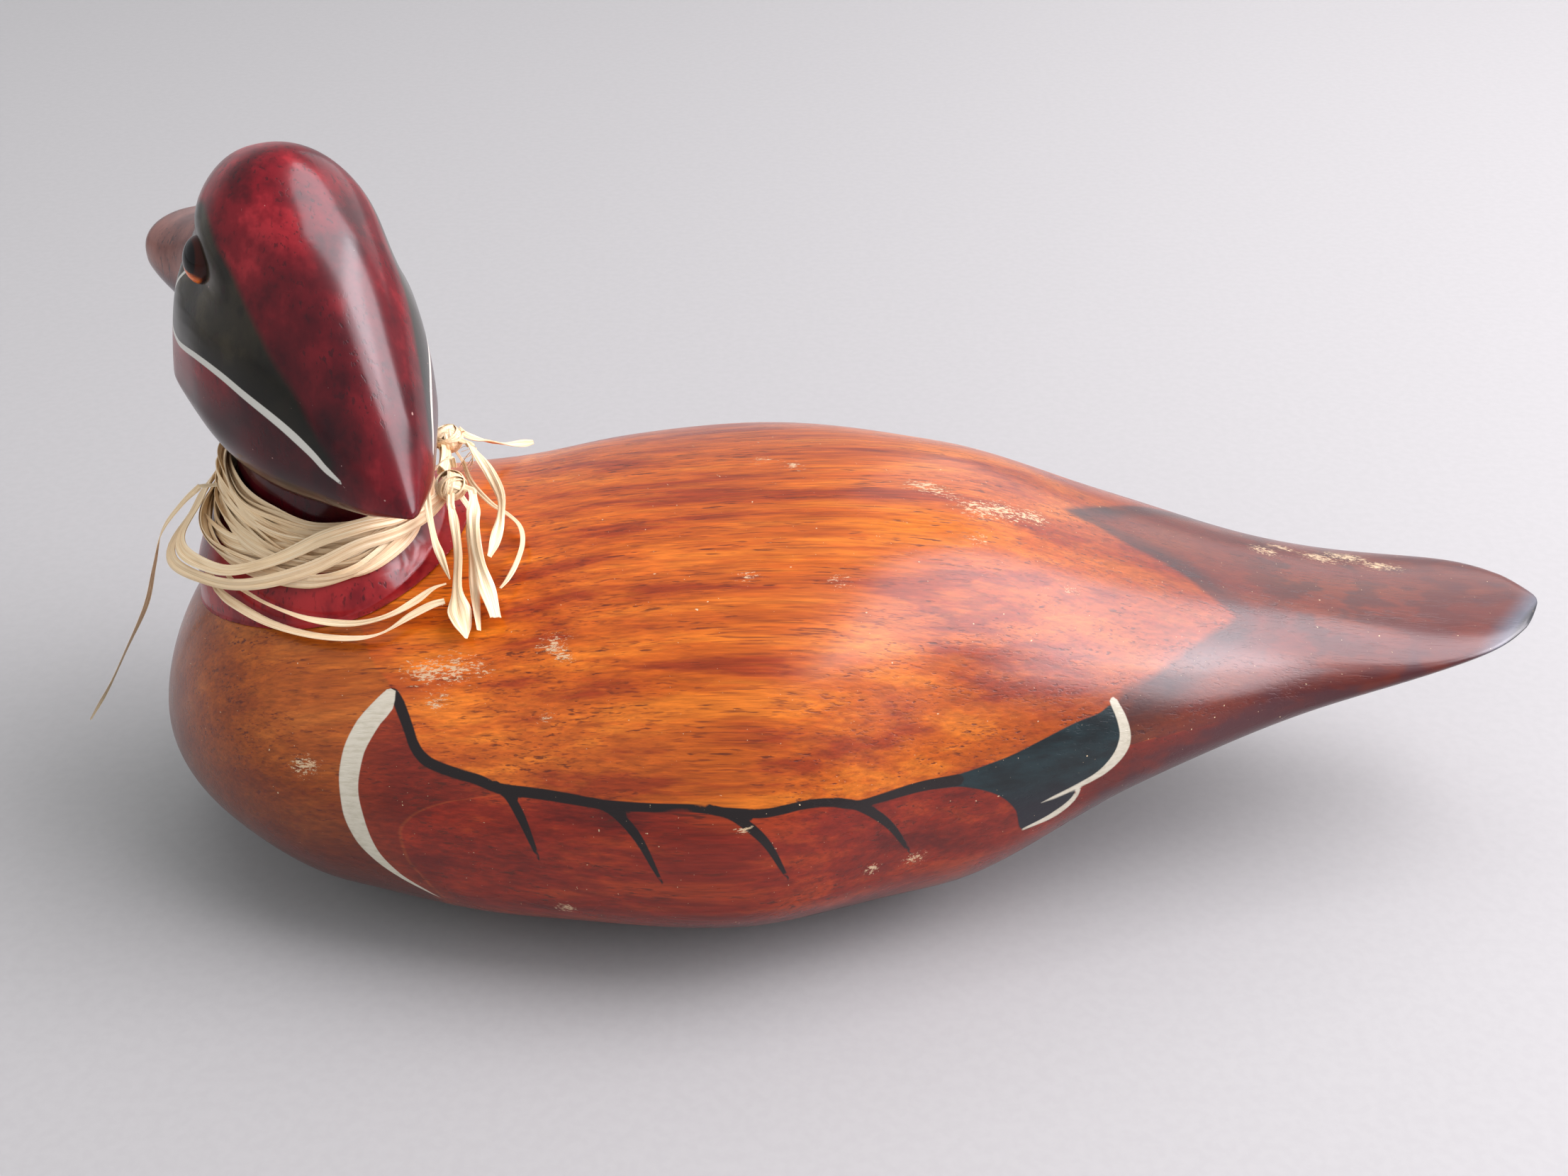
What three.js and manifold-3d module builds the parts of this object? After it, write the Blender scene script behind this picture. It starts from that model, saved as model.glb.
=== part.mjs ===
// A carved and painted wooden duck: body, separate head with glass eyes, and a raffia tie round the neck.
// Millimetres, +Z up. The breast points along -X, the tail along +X, and the left flank is at -Y.
// The origin is on the flat underside, half way along the body.

import * as THREE from 'three';
import { mergeVertices } from 'three/addons/utils/BufferGeometryUtils.js';
import Module from 'manifold-3d';

// Driving dimensions
const bodyLength = 310;
const bodyHeight = 82.3;
const bodyHalfWidth = 75.5;
const underside = 0;
const gap = 0.4;

// The head is turned to the bird's right, and its own frame is: forward, left, up, from the neck's axis.
const neckAxis = new THREE.Vector3(-112.4, -2.1, 0);
const headTurn = THREE.MathUtils.degToRad(54);
const headHeight = 158;
const headHalfWidth = 24.4;
const napeReach = 46;
const billReach = 67;
const eyeDiameter = 10;

const chest = -bodyLength / 2;
const tail = bodyLength / 2;

const wasm = await Module();
wasm.setup();

// A smooth curve through a few [place, value] stops, with no overshoot between them.
function track(stops) {
  const places = stops.map((stop) => stop[0]);
  const values = stops.map((stop) => stop[1]);
  const last = stops.length - 1;
  const rise = [];
  for (let i = 0; i < last; i++) rise.push((values[i + 1] - values[i]) / (places[i + 1] - places[i]));
  const slopes = [rise[0]];
  for (let i = 1; i < last; i++) {
    const before = places[i] - places[i - 1];
    const after = places[i + 1] - places[i];
    const mean = (3 * (before + after)) / ((2 * after + before) / rise[i - 1] + (after + 2 * before) / rise[i]);
    slopes.push(rise[i - 1] * rise[i] > 0 ? mean : 0);
  }
  slopes.push(rise[last - 1]);
  return (place) => {
    let i = 0;
    while (i < last - 1 && place > places[i + 1]) i++;
    const width = places[i + 1] - places[i];
    const t = THREE.MathUtils.clamp((place - places[i]) / width, 0, 1);
    const start = (1 + 2 * t) * (1 - t) ** 2 * values[i] + t * (1 - t) ** 2 * width * slopes[i];
    const end = t * t * (3 - 2 * t) * values[i + 1] + t * t * (t - 1) * width * slopes[i + 1];
    return start + end;
  };
}

const signedPower = (value, power) => Math.sign(value) * Math.abs(value) ** power;

// How far a round nose has opened, from 0 at its tip to 1 at the end of the rounding.
const opening = (distance, reach) => {
  const share = THREE.MathUtils.clamp(distance / reach, 0, 1);
  return Math.sqrt(share * (2 - share));
};

// The sections of a carved form: at each place along it, a rounded outline given by its half width, its top
// and bottom, how high its widest line lies, and how square its upper and lower halves are.
function sectionPoint(form, place, angle) {
  const round = opening(place - form.from, form.startRound) * opening(form.to - place, form.endRound);
  const top = form.top(place);
  const bottom = form.bottom(place);
  const widest = bottom + (top - bottom) * form.widest(place);
  const up = Math.sin(angle);
  const power = 2 / (up >= 0 ? form.upperPower(place) : form.lowerPower(place));
  const reach = up >= 0 ? top - widest : widest - bottom;
  const side = form.halfWidth(place) * round * signedPower(Math.cos(angle), power);
  const rise = signedPower(up, power);
  const point = [place, side, widest + reach * round * rise];
  return form.carve ? form.carve(point, rise) : point;
}

// Places along a form, closer together towards both of its ends.
function placesAlong(form, steps) {
  const places = [];
  for (let i = 1; i < steps; i++) {
    const share = (1 - Math.cos((Math.PI * i) / steps)) / 2;
    places.push(form.from + (form.to - form.from) * share);
  }
  return places;
}

// A closed mesh through rings of points, with a tip point at each end.
function skin(rings, firstTip, lastTip) {
  const around = rings[0].length;
  const points = [firstTip, ...rings.flat(), lastTip];
  const faces = [];
  const at = (ring, side) => 1 + ring * around + (side % around);
  for (let side = 0; side < around; side++) {
    faces.push(0, at(0, side + 1), at(0, side));
    faces.push(points.length - 1, at(rings.length - 1, side), at(rings.length - 1, side + 1));
    for (let ring = 0; ring + 1 < rings.length; ring++) {
      faces.push(at(ring, side), at(ring, side + 1), at(ring + 1, side));
      faces.push(at(ring, side + 1), at(ring + 1, side + 1), at(ring + 1, side));
    }
  }
  const geometry = new THREE.BufferGeometry();
  geometry.setAttribute('position', new THREE.Float32BufferAttribute(points.flat(), 3));
  geometry.setIndex(faces);
  return geometry;
}

function loft(form, steps, around) {
  const rings = placesAlong(form, steps).map((place) => {
    const ring = [];
    for (let side = 0; side < around; side++) ring.push(sectionPoint(form, place, (2 * Math.PI * side) / around));
    return ring;
  });
  const tip = (place) => [place, 0, form.bottom(place) + (form.top(place) - form.bottom(place)) * form.widest(place)];
  return skin(rings, tip(form.from), tip(form.to));
}

// Joining and cutting of closed meshes
function solidOf(geometry) {
  const bare = geometry.clone();
  bare.deleteAttribute('normal');
  bare.deleteAttribute('uv');
  const merged = mergeVertices(bare, 1e-4);
  return new wasm.Manifold(
    new wasm.Mesh({
      numProp: 3,
      vertProperties: new Float32Array(merged.attributes.position.array),
      triVerts: new Uint32Array(merged.index.array),
    }),
  );
}

function geometryOf(solid) {
  const mesh = solid.getMesh();
  const geometry = new THREE.BufferGeometry();
  geometry.setAttribute('position', new THREE.BufferAttribute(mesh.vertProperties, 3));
  geometry.setIndex(new THREE.BufferAttribute(mesh.triVerts, 1));
  return geometry;
}

// Body
const alongBody = (share) => chest + bodyLength * share;
const bodyTrack = (stops, size = 1) => track(stops.map(([share, value]) => [alongBody(share), value * size]));

const bodyForm = {
  from: chest,
  to: tail,
  startRound: 0.16 * bodyLength,
  endRound: 0.018 * bodyLength,
  halfWidth: bodyTrack([
    [0, 0.56], [0.03, 0.65], [0.08, 0.72], [0.16, 0.79], [0.28, 0.92], [0.42, 1],
    [0.56, 0.81], [0.7, 0.594], [0.82, 0.39], [0.92, 0.295], [0.965, 0.22], [1, 0.06],
  ], bodyHalfWidth),
  top: bodyTrack([
    [0, 0.777], [0.03, 0.875], [0.08, 0.92], [0.16, 0.912], [0.25, 0.917], [0.33, 0.962], [0.42, 0.988],
    [0.5, 1], [0.57, 0.985], [0.7, 0.833], [0.82, 0.707], [0.92, 0.646], [1, 0.631],
  ], bodyHeight),
  bottom: bodyTrack([
    [0, 2], [0.03, 4], [0.08, 5], [0.16, 0], [0.28, -2.5], [0.42, -2.5],
    [0.56, -1.5], [0.7, 21], [0.82, 33], [0.92, 43], [1, 49.5],
  ]),
  widest: bodyTrack([[0, 0.4], [0.3, 0.33], [0.6, 0.33], [0.85, 0.4], [1, 0.6]]),
  upperPower: bodyTrack([[0, 1.8], [0.5, 2.2], [0.8, 2.1], [1, 1.7]]),
  lowerPower: bodyTrack([[0, 2.2], [0.15, 2.1], [0.3, 1.92], [0.48, 1.85], [0.62, 2.05], [1, 1.85]]),
};

// The belly is planed off flat, so the bird sits on its underside.
function bodyGeometry() {
  const geometry = loft(bodyForm, 44, 34);
  const position = geometry.attributes.position;
  for (let i = 0; i < position.count; i++) position.setZ(i, Math.max(position.getZ(i), underside));
  return geometry;
}

// Head, bill and neck, in the head's own frame of forward, left and up
const toWorld = new THREE.Matrix4()
  .makeBasis(
    new THREE.Vector3(-Math.cos(headTurn), Math.sin(headTurn), 0),
    new THREE.Vector3(-Math.sin(headTurn), -Math.cos(headTurn), 0),
    new THREE.Vector3(0, 0, 1),
  )
  .setPosition(neckAxis);

// The crown leans in towards its top in front, under a brow with a hollow on each side for the eye.
const crownLean = track([[-napeReach, 0], [-10, 0], [5, 0.02], [14, 0.16], [24, 0.36], [35, 0.36]]);
const eyeHollow = { forward: 5, height: 136.5, slope: 0.25, halfLength: 13, halfHeight: 6, depth: 3.6, edge: 8 };

function carveCrown([place, side, height], rise) {
  const leaned = side * (1 - crownLean(place) * Math.max(rise, 0));
  const ahead = place - eyeHollow.forward;
  const above = height - eyeHollow.height - eyeHollow.slope * ahead;
  const fade = Math.exp(-((ahead / eyeHollow.halfLength) ** 2) - (above / eyeHollow.halfHeight) ** 2);
  const cut = eyeHollow.depth * fade * Math.min(Math.abs(leaned) / eyeHollow.edge, 1);
  return [place, Math.sign(leaned) * Math.max(Math.abs(leaned) - cut, 0), height];
}

const crownForm = {
  from: -napeReach,
  to: 35,
  startRound: 9,
  endRound: 12,
  halfWidth: track([
    [-46, 0.14], [-40, 0.31], [-30, 0.57], [-15, 0.88], [0, 1], [12, 0.98], [24, 0.81], [35, 0.62],
  ].map(([place, share]) => [place, share * headHalfWidth])),
  top: track([[-46, 98], [-40, 110], [-30, 127], [-15, 148], [0, headHeight], [12, 155], [24, 146], [35, 131]]),
  bottom: track([[-46, 94], [-40, 93], [-30, 91], [-15, 88.5], [0, 88], [12, 90], [24, 94], [35, 99]]),
  widest: () => 0.3,
  upperPower: track([[-46, 2.1], [-15, 2.1], [0, 2.15], [24, 2.1], [35, 1.9]]),
  lowerPower: track([[-46, 2.1], [-12, 2.1], [8, 1.6], [24, 1.3], [35, 1.3]]),
  carve: carveCrown,
};

const billForm = {
  from: 14,
  to: billReach,
  startRound: 3,
  endRound: 8,
  halfWidth: track([[14, 14], [27, 11.5], [41, 10.5], [56, 11.5], [billReach, 11]]),
  top: track([[14, 142], [27, 136], [41, 132], [56, 127.5], [billReach, 125]]),
  bottom: track([[14, 104], [27, 105], [41, 107], [56, 110.5], [billReach, 114]]),
  widest: () => 0.45,
  upperPower: () => 2.2,
  lowerPower: () => 2.8,
};

// The neck is an oval column that flares out at its foot, where it is glued to the back.
const neckForm = {
  from: 55,
  to: 104,
  length: track([[55, 33], [60, 32.5], [66, 32], [70, 31], [74, 29], [78, 25.5], [84, 21.5], [91, 21], [104, 24]]),
  width: track([[55, 30], [60, 29.5], [66, 29], [70, 27.5], [74, 25.5], [78, 22], [84, 17.5], [91, 17], [104, 18]]),
};

function neckGeometry() {
  const around = 26;
  const rings = [];
  for (let z = neckForm.from; z <= neckForm.to; z += 3.5) {
    const ring = [];
    for (let side = 0; side < around; side++) {
      const angle = (2 * Math.PI * side) / around;
      ring.push([neckForm.length(z) * Math.cos(angle), neckForm.width(z) * Math.sin(angle), z]);
    }
    rings.push(ring);
  }
  return skin(rings, [0, 0, neckForm.from], [0, 0, neckForm.to]);
}

// Glass eyes: a dome on each side of the crown, set into a socket and turned a little up and forward
const eyePlace = { forward: 3.3, side: 17, height: 137.6 };
const eyeDepth = 3.6;
const eyeTilt = THREE.MathUtils.degToRad(14);
const eyeTurn = THREE.MathUtils.degToRad(6);

function eyeGeometry(side, extra) {
  const radius = eyeDiameter / 2 + extra;
  return new THREE.SphereGeometry(1, 16, 7)
    .scale(radius, eyeDepth + extra, radius)
    .rotateX(side * eyeTilt)
    .rotateZ(-side * eyeTurn)
    .translate(eyePlace.forward, side * eyePlace.side, eyePlace.height)
    .applyMatrix4(toWorld);
}

// Raffia wound round the neck. Angles run round the neck's axis from +X, the side of the tail, towards +Y.
const collarSegments = 28;
const collarThickness = 4.2;
const neckClearance = 0.7;
const windingRadius = 1.4;
const windingSides = 6;
const strandSides = 6;

const roundNeck = (stops) => track(stops.map(([degrees, value]) => [THREE.MathUtils.degToRad(degrees), value]));
const collarTop = roundNeck([
  [0, 86.5], [60, 86.5], [120, 88], [180, 90.6], [202, 90], [224, 88.2], [249, 86.8], [280, 84.8], [310, 84.8], [360, 86.5],
]);
const collarFoot = roundNeck([
  [0, 81.5], [60, 80], [120, 78], [180, 76.5], [226, 75.5], [272, 75], [291, 76], [310, 78.3], [331, 80], [360, 81.5],
]);

// The distance from the neck's axis to its surface, at an angle and a height
function neckReach(angle, z) {
  const turned = angle - (Math.PI - headTurn);
  const along = Math.cos(turned) / neckForm.length(z);
  const across = Math.sin(turned) / neckForm.width(z);
  return 1 / Math.hypot(along, across);
}

const aroundNeck = (angle, reach, z) => [neckAxis.x + reach * Math.cos(angle), neckAxis.y + reach * Math.sin(angle), z];

// A closed mesh through rings that come back to the first one
function hoop(rings) {
  const around = rings[0].length;
  const points = rings.flat();
  const faces = [];
  const at = (ring, side) => (ring % rings.length) * around + (side % around);
  for (let ring = 0; ring < rings.length; ring++) {
    for (let side = 0; side < around; side++) {
      faces.push(at(ring, side), at(ring, side + 1), at(ring + 1, side));
      faces.push(at(ring, side + 1), at(ring + 1, side + 1), at(ring + 1, side));
    }
  }
  const geometry = new THREE.BufferGeometry();
  geometry.setAttribute('position', new THREE.Float32BufferAttribute(points.flat(), 3));
  geometry.setIndex(faces);
  return geometry;
}

function collarGeometry() {
  const rings = [];
  for (let i = 0; i < collarSegments; i++) {
    const angle = (2 * Math.PI * i) / collarSegments;
    const foot = collarFoot(angle);
    const top = collarTop(angle);
    const height = top - foot;
    const inner = (share) => neckReach(angle, foot + share * height) + neckClearance;
    rings.push([
      aroundNeck(angle, inner(0), foot),
      aroundNeck(angle, inner(0.3), foot + 0.3 * height),
      aroundNeck(angle, inner(0.65), foot + 0.65 * height),
      aroundNeck(angle, inner(1), top),
      aroundNeck(angle, inner(1) + 0.6 * collarThickness, top),
      aroundNeck(angle, inner(0.65) + collarThickness, foot + 0.65 * height),
      aroundNeck(angle, inner(0.3) + collarThickness, foot + 0.25 * height),
      aroundNeck(angle, inner(0) + 0.5 * collarThickness, foot),
    ]);
  }
  return hoop(rings);
}

// Thick strands of the winding that stand out from the band: their height, and how far they keep from the
// neck, by the angle. Two of them bow out in a loop over the breast and rise into the knots.
const windings = [
  {
    height: [
      [0, 85.5], [23, 87], [60, 84], [120, 83], [185, 80], [211, 75.2], [230, 75.4], [263, 80.4], [289, 85.3],
      [302, 86], [318, 84.6], [333, 84.5], [342, 87], [360, 85.5],
    ],
    offNeck: [
      [0, 7.5], [23, 9.5], [45, 5.4], [188, 5.4], [203, 8.5], [216, 7.4], [232, 6], [325, 6], [342, 10.5], [360, 7.5],
    ],
  },
  {
    height: [
      [0, 84], [23, 86], [60, 82], [120, 80.5], [185, 77.5], [208, 72.5], [228, 73.1], [247, 74.8], [276, 79],
      [300, 82.3], [318, 82], [333, 82.5], [342, 86], [360, 84],
    ],
    offNeck: [
      [0, 7], [23, 9], [45, 5.4], [188, 5.4], [203, 8.8], [216, 7.4], [230, 6], [325, 6], [342, 10], [360, 7],
    ],
  },
  {
    height: [[0, 84.5], [90, 85], [180, 85], [202, 84], [240, 77.5], [290, 78], [325, 81.5], [360, 84.5]],
    offNeck: [[0, 5], [180, 5], [240, 5.3], [360, 5]],
  },
];

function windingGeometry({ height, offNeck }) {
  const heightAt = roundNeck(height);
  const offNeckAt = roundNeck(offNeck);
  const rings = [];
  for (let i = 0; i < collarSegments; i++) {
    const angle = (2 * Math.PI * i) / collarSegments;
    const z = heightAt(angle);
    const reach = neckReach(angle, z) + offNeckAt(angle);
    const ring = [];
    for (let side = 0; side < windingSides; side++) {
      const turn = (-2 * Math.PI * side) / windingSides;
      ring.push(aroundNeck(angle, reach + windingRadius * Math.cos(turn), z + windingRadius * Math.sin(turn)));
    }
    rings.push(ring);
  }
  return hoop(rings);
}

// Two knots at the back of the neck
const knots = [
  { at: [-83.2, -11.4, 87], size: [3.5, 3.9, 3.2] },
  { at: [-87, 8.9, 87.2], size: [3.5, 4, 2.9] },
];

function knotGeometry({ at, size }) {
  return new THREE.SphereGeometry(1, 10, 7).rotateX(Math.PI / 2).scale(...size).translate(...at);
}

// Loose strands: their routes from the wound part, or a knot, to their ends
const strands = {
  strand_front_outer: {
    radius: 1.1,
    route: [
      [-132, -25.4, 70], [-128.2, -28.8, 69], [-120, -33.4, 67], [-110.7, -37, 66.3],
      [-101.7, -38.6, 66.4], [-95.4, -38.3, 67.4], [-89.5, -35.6, 69.9], [-85.3, -34, 71.5], [-82.6, -33.2, 72],
    ],
  },
  strand_front_inner: {
    radius: 0.8,
    route: [
      [-126.8, -27.8, 72.2], [-120.4, -31.2, 70.3], [-112.4, -34.5, 69], [-105.7, -35.8, 68.4],
      [-99.7, -36.1, 68.6], [-93.9, -35.1, 69.8], [-88.9, -32.7, 71.6], [-85.3, -30.6, 73.4], [-82.6, -29.7, 74],
    ],
  },
  strand_tail_thin: {
    radius: 0.8,
    route: [
      [-82.6, -10.4, 93.3], [-84.6, -13.4, 93.3], [-86.4, -16.8, 91.4], [-86.8, -19, 87.8],
      [-86.2, -21.2, 84], [-85.1, -24, 80.6], [-83.6, -27, 78.9], [-81.2, -32.1, 76.6],
    ],
  },
  strand_tail_wide: {
    radius: 1.3,
    route: [
      [-78.4, -13.6, 87], [-77.6, -17, 85.8], [-77.4, -20.6, 84], [-76.4, -25.6, 81],
      [-75, -29.6, 77.4], [-73.2, -33.8, 74], [-71.4, -38.4, 71.3],
    ],
  },
  strand_tail_fold: {
    radius: 1.2,
    route: [
      [-82.4, -17.6, 86], [-81.4, -20.6, 82.9], [-80.4, -25.2, 78.6], [-80, -31.8, 74.2],
      [-79, -36.7, 71.1], [-77.2, -41.7, 68.4],
    ],
  },
  strand_tail_middle: {
    radius: 1,
    route: [
      [-79.4, -12.8, 82], [-78.8, -16.4, 81.2], [-78.4, -20.4, 79], [-77.2, -26.8, 76.2],
      [-76.1, -33.4, 72.8], [-74.7, -40.4, 69.5],
    ],
  },
  strand_loop_thick: {
    radius: 1.2,
    route: [
      [-82, 6.4, 87.4], [-79.4, 1.8, 87], [-75.8, -4.2, 85.5], [-73.2, -9.3, 83],
      [-72.9, -14.4, 80.4], [-73.5, -19.4, 78.3], [-74.3, -23.6, 76.8],
    ],
  },
  strand_loop_thin: {
    radius: 0.8,
    route: [
      [-83.6, 6.2, 82.9], [-80.8, -0.8, 81.6], [-76.2, -5.8, 79.4], [-72, -9.6, 78.8], [-69, -13.8, 78.4],
      [-67.8, -19.1, 77.6], [-68.4, -24.8, 76.2], [-69.8, -29, 74.8], [-71.2, -31.3, 73.9],
    ],
  },
  strand_back: {
    radius: 1.1,
    route: [
      [-85.2, 14, 86.6], [-84.2, 18, 83.2], [-81.8, 24, 78.8], [-79.1, 30, 74.6], [-76.4, 35.6, 71.6],
      [-73.4, 40.6, 69.4],
    ],
  },
  strand_long: {
    radius: 0.8,
    route: [
      [-135.4, -14.4, 88.6], [-139.8, -14.6, 84.6], [-145.4, -14.2, 77.6], [-149.8, -11.4, 67], [-155, -7.5, 54.5],
      [-163.6, -2.5, 39.5], [-172.4, 3.5, 24.5], [-181.4, 9.4, 10.6],
    ],
  },
};

function strandGeometry({ radius, route }) {
  const curve = new THREE.CatmullRomCurve3(route.map((point) => new THREE.Vector3(...point)), false, 'centripetal');
  const section = new THREE.Shape();
  for (let side = 0; side < strandSides; side++) {
    const angle = (2 * Math.PI * side) / strandSides;
    if (side === 0) section.moveTo(radius, 0);
    else section.lineTo(radius * Math.cos(angle), radius * Math.sin(angle));
  }
  const steps = Math.round(curve.getLength() / (6 * radius));
  return new THREE.ExtrudeGeometry(section, { steps, extrudePath: curve, bevelEnabled: false });
}

// Colours and gloss
const finish = (color, roughness) => new THREE.MeshStandardMaterial({ color, roughness, metalness: 0 });
const stainedWood = finish(0xb2561c, 0.3);
const paintedHead = finish(0x5a1216, 0.25);
const amberGlass = finish(0x3a0f05, 0.05);
const raffia = finish(0xe6d3a4, 0.7);

const group = new THREE.Group();

function addPiece(name, geometry, material) {
  const mesh = new THREE.Mesh(geometry, material);
  mesh.name = name;
  group.add(mesh);
}

const body = solidOf(bodyGeometry());
addPiece('body', geometryOf(body), stainedWood);

const headSolid = solidOf(loft(crownForm, 30, 30).applyMatrix4(toWorld))
  .add(solidOf(loft(billForm, 14, 18).applyMatrix4(toWorld)))
  .add(solidOf(neckGeometry().applyMatrix4(toWorld)))
  .subtract(body.translate([0, 0, gap]))
  .subtract(solidOf(eyeGeometry(1, gap)))
  .subtract(solidOf(eyeGeometry(-1, gap)));
addPiece('head', geometryOf(headSolid), paintedHead);
addPiece('eye_left', eyeGeometry(1, 0), amberGlass);
addPiece('eye_right', eyeGeometry(-1, 0), amberGlass);

let collar = solidOf(collarGeometry());
for (const winding of windings) collar = collar.add(solidOf(windingGeometry(winding)));
for (const knot of knots) collar = collar.add(solidOf(knotGeometry(knot)));
addPiece('raffia_collar', geometryOf(collar), raffia);
for (const [name, strand] of Object.entries(strands)) addPiece(name, strandGeometry(strand), raffia);

export default group;
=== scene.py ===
"""The looks of a carved and painted wooden duck with a raffia tie round its neck."""

import math

import bpy
import numpy as np
from mathutils import Matrix, Vector
from mathutils.bvhtree import BVHTree


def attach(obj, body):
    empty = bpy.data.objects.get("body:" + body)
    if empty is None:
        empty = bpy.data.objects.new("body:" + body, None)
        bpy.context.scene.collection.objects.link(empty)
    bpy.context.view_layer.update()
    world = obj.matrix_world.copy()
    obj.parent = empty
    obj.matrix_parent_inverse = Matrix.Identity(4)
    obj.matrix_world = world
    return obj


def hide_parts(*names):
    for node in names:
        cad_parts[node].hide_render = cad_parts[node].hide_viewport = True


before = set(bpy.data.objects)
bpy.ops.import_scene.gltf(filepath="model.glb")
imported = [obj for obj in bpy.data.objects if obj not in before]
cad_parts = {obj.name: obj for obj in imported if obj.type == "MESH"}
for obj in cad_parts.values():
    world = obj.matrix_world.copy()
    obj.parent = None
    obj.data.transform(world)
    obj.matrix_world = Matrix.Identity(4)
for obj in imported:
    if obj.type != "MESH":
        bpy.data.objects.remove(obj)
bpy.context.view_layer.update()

# Everything below is worked out in millimetres and written to the meshes in metres
MM = 0.001

# Driving dimensions, the same as the CAD model's
BODY_LENGTH = 310.0
BODY_HEIGHT = 82.3
BODY_HALF_WIDTH = 75.5
CHEST = -BODY_LENGTH / 2
NECK_AXIS = np.array([-112.4, -2.1, 0.0])
HEAD_TURN = math.radians(54)
HEAD_HEIGHT = 158.0
HEAD_HALF_WIDTH = 24.4
NAPE_REACH = 46.0
BILL_REACH = 67.0
EYE_RADIUS = 5.0
GAP = 0.4


# Camera: the photo's viewpoint, its turns in degrees
CAMERA_PLACE = (-5.6, -375.7, 292.8)
CAMERA_DOWN = 32.44
CAMERA_ROLL = 0.71
CAMERA_YAW = -1.18
CAMERA_LENS = 45.57
SENSOR_WIDTH = 36


def add_camera():
    pitch, roll, yaw = (math.radians(turn) for turn in (CAMERA_DOWN, CAMERA_ROLL, CAMERA_YAW))
    forward = Vector((math.sin(yaw) * math.cos(pitch), math.cos(yaw) * math.cos(pitch), -math.sin(pitch)))
    level = Vector((math.cos(yaw), -math.sin(yaw), 0))
    down = forward.cross(level)
    right = level * math.cos(roll) + down * math.sin(roll)
    up = level * math.sin(roll) - down * math.cos(roll)
    data = bpy.data.cameras.new("camera")
    data.sensor_width = SENSOR_WIDTH
    data.lens = CAMERA_LENS
    data.clip_start = 0.01
    camera = bpy.data.objects.new("camera", data)
    bpy.context.scene.collection.objects.link(camera)
    turn = Matrix((right, up, -forward)).transposed().to_4x4()
    camera.matrix_world = Matrix.Translation(Vector(CAMERA_PLACE) * MM) @ turn
    bpy.context.scene.camera = camera


add_camera()


# Curves and meshes
def track(stops, blur=0.0):
    """A smooth curve through a few (place, value) stops. blur rounds off its changes of slope."""
    places = np.array([s[0] for s in stops], float)
    values = np.array([s[1] for s in stops], float)
    width = np.diff(places)
    rise = np.diff(values) / width
    slopes = np.empty_like(values)
    slopes[0], slopes[-1] = rise[0], rise[-1]
    for i in range(1, len(values) - 1):
        before, after = width[i - 1], width[i]
        slopes[i] = 0
        if rise[i - 1] * rise[i] > 0:
            spread = (2 * after + before) / rise[i - 1] + (after + 2 * before) / rise[i]
            slopes[i] = 3 * (before + after) / spread
    table = np.linspace(places[0], places[-1], 1201)
    i = np.clip(np.searchsorted(places, table, side="right") - 1, 0, len(width) - 1)
    t = (table - places[i]) / width[i]
    curve = (
        (1 + 2 * t) * (1 - t) ** 2 * values[i]
        + t * (1 - t) ** 2 * width[i] * slopes[i]
        + t * t * (3 - 2 * t) * values[i + 1]
        + t * t * (t - 1) * width[i] * slopes[i + 1]
    )
    if blur:
        step = table[1] - table[0]
        reach = int(3 * blur / step)
        kernel = np.exp(-0.5 * (np.arange(-reach, reach + 1) * step / blur) ** 2)
        kernel /= kernel.sum()
        start = 2 * curve[0] - curve[reach:0:-1]
        end = 2 * curve[-1] - curve[-2 : -reach - 2 : -1]
        curve = np.convolve(np.concatenate([start, curve, end]), kernel, "valid")
    return lambda place: np.interp(place, table, curve)


def smooth_line(points, steps=8):
    """A finer line through the given points, with no corners."""
    p = np.array(points, float)
    p = np.vstack([2 * p[0] - p[1], p, 2 * p[-1] - p[-2]])
    line = []
    for i in range(1, len(p) - 2):
        before, here, after, beyond = p[i - 1 : i + 3]
        bend = 2 * before - 5 * here + 4 * after - beyond
        swing = 3 * here - before - 3 * after + beyond
        for t in np.arange(steps) / steps:
            line.append(0.5 * (2 * here + (after - before) * t + bend * t**2 + swing * t**3))
    line.append(p[-2])
    return np.array(line)


def opening(distance, reach):
    """How far a round nose has opened, from 0 at its tip to 1 at the end of the rounding."""
    share = np.clip(distance / reach, 0, 1)
    return np.sqrt(share * (2 - share))


def signed_power(value, power):
    return np.sign(value) * np.abs(value) ** power


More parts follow.
